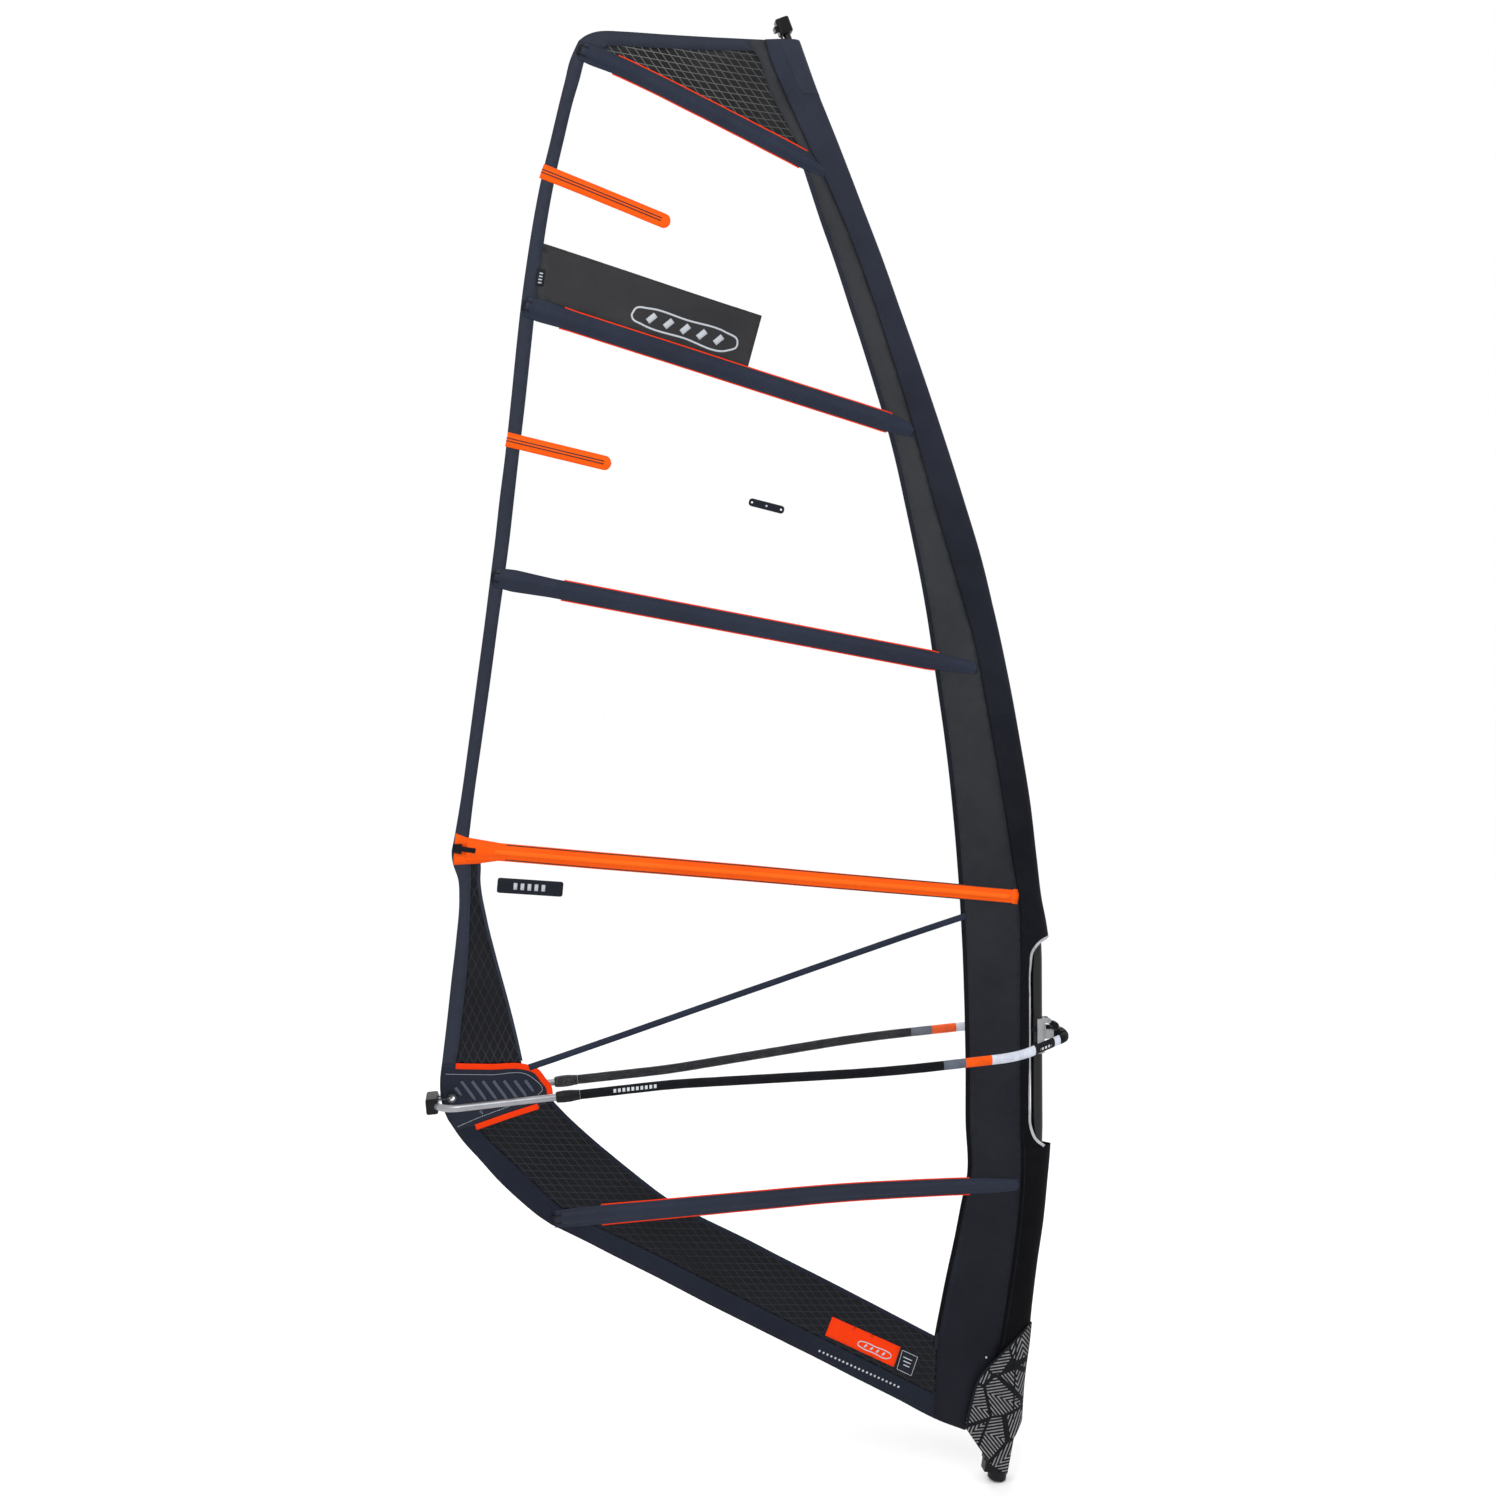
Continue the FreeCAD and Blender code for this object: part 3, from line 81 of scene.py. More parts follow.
LABEL_TAG = (-1470.0, 1930.5, 198.0, 46.0, -5.5)
STRAP = [(-1478.7,1377.9),(-1076.2,1498.4),(-634.7,1634.8),(-114.5,1809.1)]
B1 = [(-1309.0,4399.2),(-1192.1,4358.3),(-949.1,4255.6),(-709.7,4143.3),(-566.0,4071.6)]
B2 = [(-1477.8,3659.9),(-1349.7,3621.8),(-949.2,3507.8),(-643.8,3417.9),(-369.5,3332.9),(-297.0,3309.0)]
B3 = [(-1576.6,2863.7),(-1367.6,2824.4),(-1063.3,2767.5),(-736.1,2706.5),(-409.4,2644.7),(-211.8,2607.2),(-90.3,2584.5)]
B4 = [(-1698.8,2054.0),(-1580.0,2042.1),(-1258.7,2005.8),(-888.0,1963.7),(-477.9,1918.5),(-126.7,1885.6),(48.0,1869.6)]
B5 = [(-1414.0,903.7),(-1260.1,910.3),(-1061.2,914.9),(-778.8,920.3),(-466.7,929.6),(-312.9,933.8),(-94.8,941.8),(63.0,946.1)]
MINI_A = [(-1418.0,4047.6),(-1228.0,3979.7),(-1039.2,3911.7)]
MINI_B = [(-1527.5,3267.8),(-1373.0,3233.0),(-1218.8,3198.7)]
RING = (-1710.9, 1293.6)
BADGE = [(-537.2,544.2),(-316.3,432.4),(-341.0,372.9),(-561.3,488.2)]
SIZEBOX = [(-312.4,427.3),(-257.7,399.8),(-282.3,336.7),(-333.9,364.5)]
REINF = [(-709.2,4431.0),(-650.7,4301.4),(-641.6,4290.1),(-620.4,4290.4),(-603.2,4299.9)]
TAPE1 = [(-1698.4,1391.5),(-1596.0,1385.2),(-1481.7,1377.4),(-1460.6,1368.6),(-1435.2,1336.3),(-1418.7,1312.4),(-1415.8,1291.7)]
TAPE2 = [(-1451.3,1257.0),(-1537.4,1233.0),(-1641.1,1201.0)]
PSTITCH1 = [(-1729.0,1368.1),(-1596.2,1360.6),(-1478.3,1352.5),(-1440.3,1303.1),(-1454.4,1290.8)]
PSTITCH2 = [(-1537.7,1261.2),(-1627.6,1231.6),(-1697.7,1203.8)]
BOOM_HUB = (191.2, 1430.5); BOOM_TILT = 4.4
ARM_HALF, TAIL_X = 87.0, -1958.0

# ============================================================ curves in the plane
def hermite(pts, key, val):
    """Smooth single-valued function through a table."""
    t = sorted(pts, key=lambda p: p[key])
    x = np.array([p[key] for p in t], float); y = np.array([p[val] for p in t], float)
    d = np.diff(y) / np.diff(x); h = np.diff(x)
    m = np.empty(len(x)); m[0], m[-1] = d[0], d[-1]
    m[1:-1] = (d[:-1]*h[1:] + d[1:]*h[:-1]) / (h[:-1] + h[1:])
    def f(q):
        q = np.clip(np.asarray(q, float), x[0], x[-1])
        i = np.clip(np.searchsorted(x, q) - 1, 0, len(h) - 1)
        s = (q - x[i]) / h[i]
        return ((2*s**3 - 3*s**2 + 1)*y[i] + (s**3 - 2*s**2 + s)*h[i]*m[i] + (-2*s**3 + 3*s**2)*y[i+1] + (s**3 - s**2)*h[i]*m[i+1])
    return f

def linear(pts, key=1, val=0):
    t = sorted(pts, key=lambda p: p[key])
    x = np.array([p[key] for p in t], float); y = np.array([p[val] for p in t], float)
    return lambda q: np.interp(q, x, y)

def smooth(pts, step=12.0):
    """Points along a smooth curve through pts (2-D)."""
    P = np.array(pts, float)
    L = np.concatenate([[0], np.cumsum(np.linalg.norm(np.diff(P, axis=0), axis=1))])
    n = max(2, int(round(L[-1] / step)) + 1)
    s = np.linspace(0, L[-1], n)
    if len(P) == 2:
        return [tuple(P[0] + (P[1]-P[0])*k/L[-1]) for k in s]
    fx = hermite([(a, b) for a, b in zip(L, P[:, 0])], 0, 1); fz = hermite([(a, b) for a, b in zip(L, P[:, 1])], 0, 1)
    return list(zip(fx(s).tolist(), fz(s).tolist()))

def poly(*segs, step=12.0):
    out = []
    for kind, pts in segs:
        q = smooth(pts, step) if kind == "s" else [tuple(map(float, p)) for p in pts]
        if out and abs(out[-1][0]-q[0][0]) < 1e-6 and abs(out[-1][1]-q[0][1]) < 1e-6:
            q = q[1:]
        out += q
    if abs(out[0][0]-out[-1][0]) < 1e-6 and abs(out[0][1]-out[-1][1]) < 1e-6:
        out.pop()
    return out

def inside(P, Q):
    """Which points P (n, 2) lie in polygon Q."""
    Q = np.array(Q, float); x, y = P[:, 0], P[:, 1]
    r = np.zeros(len(P), bool)
    for (x0, y0), (x1, y1) in zip(Q, np.roll(Q, -1, axis=0)):
        if y0 == y1: continue
        c = ((y0 > y) != (y1 > y)) & (x < (x1-x0)*(y-y0)/(y1-y0) + x0)
        r ^= c
    return r

# ============================================================ sail surface
C_TAB = [(0,0),(300,0),(500,20),(1000,58),(1350,62),(1700,60),(2400,50),(3300,35),(4300,12),(4600,8)]
XT = [(4600,-1290),(4400,-1315),(3500,-1502),(2500,-1630),(1900,-1705),(1500,-1740),(1300,-1740),(1100,-1640),(888,-1430),(600,-930),(300,-400),(165,-160)]
seam_l, xt_l, ct_l = linear(SEAM), linear(XT, 0, 1), linear(C_TAB, 0, 1)
GX = -1860.0 + 80.0*np.arange(26); GZ = 40.0 + 112.5*np.arange(41)
gx, gz = np.meshgrid(GX, GZ, indexing="ij")
gu = (seam_l(gz) - gx) / np.maximum(seam_l(gz) - xt_l(gz), 60.0)
gc = np.clip(gu, 0, 1)
GY = np.where((gu > 0) & (gu < 1), ct_l(gz) * 10.06 * gc**1.3 * (1-gc)**2.2, 0.0)
def camber(x, z):
    """Y of the sail's mid surface, bicubic over the grid."""
    x = np.asarray(x, float); z = np.asarray(z, float)
    a = (x - GX[0]) / 80.0; b = (z - GZ[0]) / 112.5
    i = np.clip(np.floor(a).astype(int), 1, 23); j = np.clip(np.floor(b).astype(int), 1, 38)
    s, t = a - i, b - j
    def w(q): return [((-0.5*q+1)*q-0.5)*q, (1.5*q-2.5)*q*q+1, ((-1.5*q+2)*q+0.5)*q, (0.5*q-0.5)*q*q]
    ws, wt = w(s), w(t); y = 0
    for m in range(4):
        for n in range(4):
            y = y + ws[m]*wt[n]*GY[i+m-1, j+n-1]
    return y

def ripple(x, z):
    """Soft tension wrinkles in the cloth, mm: from the clew, the tack and the luff."""
    x = np.asarray(x, float); z = np.asarray(z, float)
    rc = np.hypot(x+1700, z-1290); ac = np.arctan2(z-1290, x+1700)
    w = 0.9*np.sin(ac*14)*np.exp(-((rc-350)/200)**2)
    rt = np.hypot(x+60, z-150); at = np.arctan2(z-150, x+60)
    w = w + 1.0*np.sin(at*17)*np.exp(-((rt-360)/230)**2)
    rh = np.hypot(x+760, z-4450); ah = np.arctan2(z-4450, x+760)
    w = w + 0.7*np.sin(ah*15)*np.exp(-((rh-300)/200)**2)
    w = w + 0.5*np.sin(x*0.021+z*0.0043)*np.sin(z*0.0117+1.3) + 0.25*np.sin(x*0.047-z*0.031)
    edge = np.clip((seam_l(z)-x)/70.0, 0, 1)
    return w*edge

def sail_y(x, z):
    return camber(x, z) + ripple(x, z)

# ============================================================ mesh helpers
def make(name, verts, faces, mat, slot, body="rig", sm=True):
    me = bpy.data.meshes.new(name)
    me.from_pydata([tuple(float(c)*MM for c in v) for v in verts], [], [tuple(int(k) for k in f) for f in faces])
    me.validate(); me.update()
    if sm:
        me.polygons.foreach_set("use_smooth", [True]*len(me.polygons))
    ob = bpy.data.objects.new(name, me); bpy.context.scene.collection.objects.link(ob)
    if mat is not None: me.materials.append(mat)
    if body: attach(ob, body)
    return ob

def fix_normals(ob):
    bm = bmesh.new(); bm.from_mesh(ob.data)
    bmesh.ops.remove_doubles(bm, verts=bm.verts, dist=1e-6)
    bmesh.ops.recalc_face_normals(bm, faces=bm.faces)
    bm.to_mesh(ob.data); bm.free(); ob.data.update()
    return ob

def solid(ob, t, off=0.0):
    m = ob.modifiers.new("thickness", "SOLIDIFY"); m.thickness = t*MM; m.offset = off
    m.use_even_offset = False
    return ob

def pca_size(V):
    P = np.array([(v[0], v[2]) for v in V], float); P = P - P.mean(axis=0)
    _, vec = np.linalg.eigh(P.T @ P); Q = P @ vec
    return sorted((Q.max(axis=0) - Q.min(axis=0)).tolist())

def area_of(ob):
    return sum(p.area for p in ob.data.polygons)

def cloth(ob, size=None, layers=1):
    """Works out a sheet's cut size in mm (width, length) from its own flat area; nothing is stored and the object is
    returned unchanged.
    """
    a = area_of(ob) / layers
    if size is None:
        size = pca_size([(v.co.x*1000, 0, v.co.z*1000) for v in ob.data.vertices])
    w, l = size[0]*MM, size[1]*MM
    if min(w, l) < 0.0102 or a / l < 0.0102:
        return ob          # a printed line or narrow binding, smaller than a sheet can be
    q = a / (w*l)
    if q < 0.32 or q > 0.98:
        w = a / l
    return ob

def cdt(lines, keep_poly, spacing, holes=(), clear=0.35):
    """Triangulates the inside of keep_poly with extra constraint lines; returns points (n, 2) and triangles."""
    pts, edges = [], []
    for ln, closed in [(keep_poly, True)] + [(h, True) for h in holes] + [(l, False) for l in lines]:
        k = len(pts); pts += [tuple(p) for p in ln]; m = len(ln)
        edges += [(k+i, k+i+1) for i in range(m-1)] + ([(k+m-1, k)] if closed else [])
    dense = []
    for a, b in edges:
        p, q = np.array(pts[a]), np.array(pts[b]); n = max(1, int(np.linalg.norm(q-p)/(spacing*0.5)))
        dense += [tuple(p + (q-p)*k/n) for k in range(n)]
    D = np.array(dense)
    x0, z0 = np.array(keep_poly).min(axis=0); x1, z1 = np.array(keep_poly).max(axis=0)
    g, r = [], 0
    z = z0 + spacing*0.4
    while z < z1:
        xs = np.arange(x0 + (spacing*0.5 if r % 2 else 0.0), x1, spacing)
        g += [(x, z) for x in xs]; z += spacing*0.87; r += 1
    G = np.array(g) if g else np.zeros((0, 2))
    if len(G):
        G = G[inside(G, keep_poly)]
    if len(G):
        from mathutils.kdtree import KDTree
        kd = KDTree(len(D))
        for i, p in enumerate(D): kd.insert((p[0], p[1], 0), i)
        kd.balance()
        G = np.array([p for p in G if kd.find((p[0], p[1], 0))[2] > spacing*clear*1.4] or np.zeros((0, 2)))
    allp = [Vector(p) for p in pts] + [Vector(p) for p in G]
    v, e, f, *_ = geometry.delaunay_2d_cdt(allp, edges, [], 0, 0.01)
    P = np.array([tuple(p) for p in v]); F = np.array([tuple(t) for t in f if len(t) == 3])
    C = P[F].mean(axis=1); ok = inside(C, keep_poly)
    for h in holes: ok &= ~inside(C, h)
    return P, F[ok]

def piece_from(P, F, name, yoff, mat, slot, t, yfun=sail_y, body="rig"):
    used = np.unique(F); idx = -np.ones(len(P), int); idx[used] = np.arange(len(used))
    Q = P[used]; y = yfun(Q[:, 0], Q[:, 1]) + yoff
    V = np.stack([Q[:, 0], y, Q[:, 1]], axis=1)
    # orient every triangle towards the near side
    T = F.copy(); a, b, c = P[T[:, 0]], P[T[:, 1]], P[T[:, 2]]
    cr = (b[:, 0]-a[:, 0])*(c[:, 1]-a[:, 1]) - (b[:, 1]-a[:, 1])*(c[:, 0]-a[:, 0])
    flip = cr < 0; T[flip] = T[flip][:, ::-1]
    ob = make(name, V, idx[T], mat, slot, body)
    if t: solid(ob, t)
    return ob

def flat_patch(name, outline, yoff, mat, slot, t=0.6, spacing=14.0, holes=(), step=8.0):
    P, F = cdt([], outline, spacing, holes)
    return piece_from(P, F, name, yoff, mat, slot, t)

def frame_of(axis, n):
    P = np.array(smooth(axis, 5.0)); L = np.concatenate([[0], np.cumsum(np.linalg.norm(np.diff(P, axis=0), axis=1))])
    s = np.linspace(0, L[-1], n)
    x = np.interp(s, L, P[:, 0]); z = np.interp(s, L, P[:, 1])
    tx, tz = np.gradient(x), np.gradient(z); l = np.hypot(tx, tz)
    return x, z, -tz/l, tx/l, s, L[-1]

def ribbon(name, axis, widths, yoff, mat, slot, t=0.7, s0=0.0, s1=1.0, cols=3, step=14.0, yfun=sail_y, body="rig", shift=0.0, round_end=False):
    """Flat tape along an axis on the sail; widths is [(s, w)] or a number, shift moves it sideways."""
    x, z, nx, nz, s, L = frame_of(axis, 400)
    n = max(3, int(L*(s1-s0)/step))
    q = np.linspace(s0*L, s1*L, n)
    if round_end:
        q = np.concatenate([q[q < s1*L-14], s1*L - 14*(1-np.sin(np.linspace(0, math.pi/2, 9)))])
        n = len(q)
    X, Z, NX, NZ = (np.interp(q, s, c) for c in (x, z, nx, nz))
    W = np.interp(q/L, [a for a, _ in widths], [b for _, b in widths]) if isinstance(widths, list) else np.full(n, float(widths))
    if round_end:
        d = np.clip((s1*L - q)/14.0, 0, 1); W = W*np.sqrt(np.clip(1-(1-d)**2, 0.0009, 1))
    V, F = [], []
    for i in range(n):
        for j in range(cols):
            a = (j/(cols-1.0) - 0.5)*W[i] + shift
            px, pz = X[i]+NX[i]*a, Z[i]+NZ[i]*a
            V.append((px, float(yfun(px, pz)) + yoff, pz))
    for i in range(n-1):
        for j in range(cols-1):
            k = i*cols+j; F.append((k, k+1, k+cols+1, k+cols))
    ob = fix_normals(make(name, V, F, mat, slot, body))
    if t: solid(ob, t)
    ob["w"] = float(W.mean()); ob["l"] = float((s1-s0)*L)
    return ob

def channel(name, axis, widths, prof, mat, slot, s0=0.0, s1=1.0, step=11.0, wob=0.35, tip=False, base=-1.3, hfun=None):
    """Closed raised tube of cloth along an axis: prof is [(t, height)] across, t from -0.5 to 0.5."""
    x, z, nx, nz, s, L = frame_of(axis, 500)
    n = max(6, int(L*(s1-s0)/step)); q = np.linspace(s0*L, s1*L, n)
    if tip:
        q = np.concatenate([q[q < s1*L-20], s1*L - 20*(1-np.sin(np.linspace(0, math.pi/2, 10)))]); n = len(q)
    X, Z, NX, NZ = (np.interp(q, s, c) for c in (x, z, nx, nz))
    W = np.interp(q/L, [a for a, _ in widths], [b for _, b in widths])
    T = [p[0] for p in prof]; m = len(T); V, F = [], []
    for i in range(n):
        k = 1.0
        if tip:
            d = min(1.0, max(0.0, (s1*L-q[i])/20.0)); k = math.sqrt(max(0.0012, 1-(1-d)**2))
        hf = hfun(q[i]/L) if hfun else 1.0
        for j in range(m):
            a = T[j]*W[i]*k; px, pz = X[i]+NX[i]*a, Z[i]+NZ[i]*a
            h = prof[j][1]*hf
            h += wob*math.sin(q[i]*0.043+j*0.9)*math.sin(q[i]*0.0171+j*0.35)*(1.0 if 0 < j < m-1 else 0.2)*min(1.0, h/4.0)
            if tip: h *= min(1.0, 0.25+0.75*k)
            V.append((px, float(sail_y(px, pz)) + base - max(h, 0.5), pz))
        for j in range(m):
            a = T[j]*W[i]*k; px, pz = X[i]+NX[i]*a, Z[i]+NZ[i]*a
            V.append((px, float(sail_y(px, pz)) + base + 0.35, pz))
    for i in range(n-1):
        for j in range(m-1):
            a = i*2*m+j; b = a+2*m
            F.append((a, a+1, b+1, b)); F.append((a+m, b+m, b+m+1, a+m+1))
        a = i*2*m; b = a+2*m
        F.append((a, b, b+m, a+m)); F.append((a+m-1, a+2*m-1, b+2*m-1, b+m-1))
    for i in (0, n-1):
        a = i*2*m
        for j in range(m-1):
            F.append((a+j, a+j+1, a+m+j+1, a+m+j))
    ob = fix_normals(make(name, V, F, mat, slot))
    ob["w"] = float(W.mean()); ob["l"] = float((s1-s0)*L)
    return ob

STITCH = {}
def stitch(path, key, yoff, yfun=sail_y, pitch=6.5, ln=4.2, w=0.9, zig=0.0, side=-1.0):
    """Adds thread stitches along a path; key names the object that collects them."""
    P = np.array(smooth(path, 3.0)); L = np.concatenate([[0], np.cumsum(np.linalg.norm(np.diff(P, axis=0), axis=1))])
    s = np.arange(pitch*0.5, L[-1], pitch); x = np.interp(s, L, P[:, 0]); z = np.interp(s, L, P[:, 1])
    x2 = np.interp(s+1, L, P[:, 0])-np.interp(s-1, L, P[:, 0]); z2 = np.interp(s+1, L, P[:, 1])-np.interp(s-1, L, P[:, 1])
    l = np.hypot(x2, z2); tx, tz = x2/l, z2/l
    V, F = STITCH.setdefault(key, ([], []))
    Y = yfun(x, z) + yoff
    for i in range(len(s)):
        ca, sa = math.cos(zig*(1 if i % 2 else -1)), math.sin(zig*(1 if i % 2 else -1))
        ux, uz = tx[i]*ca - tz[i]*sa, tx[i]*sa + tz[i]*ca
        k = len(V)
        for a, b, c in ((-1, 0, 0), (-0.55, 1, 0.3), (-0.55, -1, 0.3), (0, 0, 1), (0.55, 1, 0.3), (0.55, -1, 0.3), (1, 0, 0)):
            V.append((x[i]+ux*a*ln/2-uz*b*w/2, Y[i]+side*c*0.5, z[i]+uz*a*ln/2+ux*b*w/2))
        V.append((x[i], Y[i]-side*0.25, z[i]))
        F += [(k, k+1, k+3), (k, k+3, k+2), (k+1, k+4, k+3), (k+2, k+3, k+5), (k+4, k+6, k+3), (k+3, k+6, k+5),
              (k, k+7, k+1), (k, k+2, k+7), (k+1, k+7, k+4), (k+2, k+5, k+7), (k+4, k+7, k+6), (k+5, k+6, k+7)]

# ============================================================ materials
def nodes_of(name):
    m = bpy.data.materials.new(name); m.use_nodes = True
    nt = m.node_tree; nt.nodes.clear()
    out = nt.nodes.new("ShaderNodeOutputMaterial"); b = nt.nodes.new("ShaderNodeBsdfPrincipled")
    nt.links.new(b.outputs[0], out.inputs[0])
    tc = nt.nodes.new("ShaderNodeTexCoord")
    return m, nt, b, tc.outputs["Object"]

def lin(rgb):
    return tuple((c/12.92 if c <= 0.04045 else ((c+0.055)/1.055)**2.4) for c in [k/255.0 for k in rgb]) + (1.0,)

def mapping(nt, co, rot=(0, 0, 0), scale=(1, 1, 1), loc=(0, 0, 0)):
    m = nt.nodes.new("ShaderNodeMapping"); m.inputs["Rotation"].default_value = rot
    m.inputs["Scale"].default_value = scale; m.inputs["Location"].default_value = loc
    nt.links.new(co, m.inputs["Vector"]); return m.outputs[0]

def noise(nt, co, scale, detail=3.0, rough=0.5):
    n = nt.nodes.new("ShaderNodeTexNoise"); n.inputs["Scale"].default_value = scale
    n.inputs["Detail"].default_value = detail; n.inputs["Roughness"].default_value = rough
    nt.links.new(co, n.inputs["Vector"]); return n.outputs["Fac"]

def wave(nt, co, period_mm, axis="X", dist=0.0, dscale=1.0):
    n = nt.nodes.new("ShaderNodeTexWave"); n.wave_type = "BANDS"; n.bands_direction = axis; n.wave_profile = "SIN"
    n.inputs["Scale"].default_value = 2*math.pi/(20*period_mm*MM); n.inputs["Distortion"].default_value = dist
    n.inputs["Detail"].default_value = 1.0; n.inputs["Detail Scale"].default_value = dscale
    nt.links.new(co, n.inputs["Vector"]); return n.outputs["Fac"]

def ramp(nt, fac, stops, interp="LINEAR"):
    r = nt.nodes.new("ShaderNodeValToRGB"); r.color_ramp.interpolation = interp
    e = r.color_ramp.elements
    while len(e) < len(stops): e.new(0.5)
    for q, (p, c) in zip(e, stops):
        q.position = p; q.color = c if len(c) == 4 else tuple(c) + (1.0,)
    nt.links.new(fac, r.inputs[0]); return r.outputs[0]

def grey(v): return (v, v, v, 1.0)

def math_(nt, op, a, b=None, clamp=False):
    n = nt.nodes.new("ShaderNodeMath"); n.operation = op; n.use_clamp = clamp
    for i, v in enumerate((a, b)):
        if v is None: continue
        if isinstance(v, (int, float)): n.inputs[i].default_value = v
        else: nt.links.new(v, n.inputs[i])
    return n.outputs[0]

def mixc(nt, fac, a, b, mode="MIX"):
    n = nt.nodes.new("ShaderNodeMix"); n.data_type = "RGBA"; n.blend_type = mode
    if isinstance(fac, (int, float)): n.inputs[0].default_value = fac
    else: nt.links.new(fac, n.inputs[0])
    for i, v in ((6, a), (7, b)):
        if isinstance(v, tuple): n.inputs[i].default_value = v
        else: nt.links.new(v, n.inputs[i])
    return n.outputs[2]

def maprange(nt, v, a, b, c, d):
    n = nt.nodes.new("ShaderNodeMapRange"); nt.links.new(v, n.inputs[0])
    for i, k in zip((1, 2, 3, 4), (a, b, c, d)): n.inputs[i].default_value = k
    return n.outputs[0]

def bump(nt, h, strength, dist_mm, b, normal=None):
    n = nt.nodes.new("ShaderNodeBump"); n.inputs["Strength"].default_value = strength
    n.inputs["Distance"].default_value = dist_mm*MM; nt.links.new(h, n.inputs["Height"])
    if normal is not None: nt.links.new(normal, n.inputs["Normal"])
    if b is not None: nt.links.new(n.outputs[0], b.inputs["Normal"])
    return n.outputs[0]

def sep(nt, co, k):
    n = nt.nodes.new("ShaderNodeSeparateXYZ"); nt.links.new(co, n.inputs[0]); return n.outputs[k]

def fabric(name, dark, light, rough=0.75, weave=1.1, rot=0.35, spec=0.1, sheen=0.02, wstr=0.5, tone=0.35, crease=0.25, painted_shade=None):
    """Woven cloth: warp and weft bands, thread colour variation, handling creases and slow tone drift; the optional
    last argument adds painted shade that darkens the cloth towards the bottom, standing in for weaker light low on the
    rig.
    """
    m, nt, b, co = nodes_of(name)
    mp = mapping(nt, co, (0, rot, 0))
    wa, wb = wave(nt, mp, weave, "X", 0.6, 2.0), wave(nt, mp, weave, "Z", 0.6, 2.0)
    thread = math_(nt, "MULTIPLY", wa, wb)
    slow = noise(nt, co, 3.2, 4.0, 0.6); fine = noise(nt, co, 160.0, 2.0)
    f = math_(nt, "ADD", math_(nt, "MULTIPLY", thread, 0.45), math_(nt, "MULTIPLY", maprange(nt, slow, 0.3, 0.7, 0.0, 1.0), tone))
    f = math_(nt, "ADD", f, math_(nt, "MULTIPLY", fine, 0.2), True)
    col = mixc(nt, f, lin(dark), lin(light))
    # painted shade: from z1 down to z0 the cloth blends into the darker lo colours, standing in for weaker light low on
    # the rig
    if painted_shade:
        z0, z1, lo = painted_shade
        g = maprange(nt, sep(nt, co, 2), z0, z1, 0.0, 1.0)
        g = math_(nt, "POWER", math_(nt, "ADD", g, math_(nt, "MULTIPLY", math_(nt, "SUBTRACT", slow, 0.5), 0.35), True), 1.4)
        col = mixc(nt, g, mixc(nt, f, lin(lo[0]), lin(lo[1])), col)
    nt.links.new(col, b.inputs["Base Color"])
    nt.links.new(maprange(nt, noise(nt, co, 26.0, 4.0), 0.3, 0.75, rough-0.07, rough+0.1), b.inputs["Roughness"])
    b.inputs["Specular IOR Level"].default_value = spec
    b.inputs["Sheen Weight"].default_value = sheen; b.inputs["Sheen Roughness"].default_value = 0.5
    cr = noise(nt, mapping(nt, co, (0, -0.5, 0), (5.0, 5.0, 1.6)), 4.0, 5.0, 0.62)
    n1 = bump(nt, cr, crease, 9.0, None)
    bump(nt, thread, wstr, 0.12, b, n1)
    return m

def plastic(name, dark, light, rough=0.42, spec=0.16, grain=900.0, gstr=0.25, wear=0.2, dark_from=None):
    """Moulded plastic: fine spark-eroded grain, faint flow marks, rubbed patches."""
    m, nt, b, co = nodes_of(name)
    n1 = noise(nt, co, 11.0, 5.0, 0.6); n2 = noise(nt, co, grain, 2.0)
    f = math_(nt, "ADD", maprange(nt, n1, 0.35, 0.7, 0.0, 0.8), math_(nt, "MULTIPLY", n2, 0.3), True)
    col = mixc(nt, f, lin(dark), lin(light))
    if dark_from is not None: col = mixc(nt, math_(nt, "GREATER_THAN", sep(nt, co, 0), dark_from), col, mixc(nt, f, lin((8, 9, 11)), lin((20, 21, 25))))
    nt.links.new(col, b.inputs["Base Color"])
    scr = ramp(nt, noise(nt, mapping(nt, co, (0.3, 0.9, 0.2), (60, 4, 9)), 9.0, 5.0, 0.7), [(0.0, grey(0)), (0.62, grey(0)), (0.68, grey(1)), (1.0, grey(0.3))])
    r = math_(nt, "ADD", maprange(nt, n1, 0.3, 0.75, rough-0.06, rough+0.12), math_(nt, "MULTIPLY", scr, wear), True)
    nt.links.new(r, b.inputs["Roughness"]); b.inputs["Specular IOR Level"].default_value = spec
    bump(nt, n2, gstr, 0.08, b)
    return m

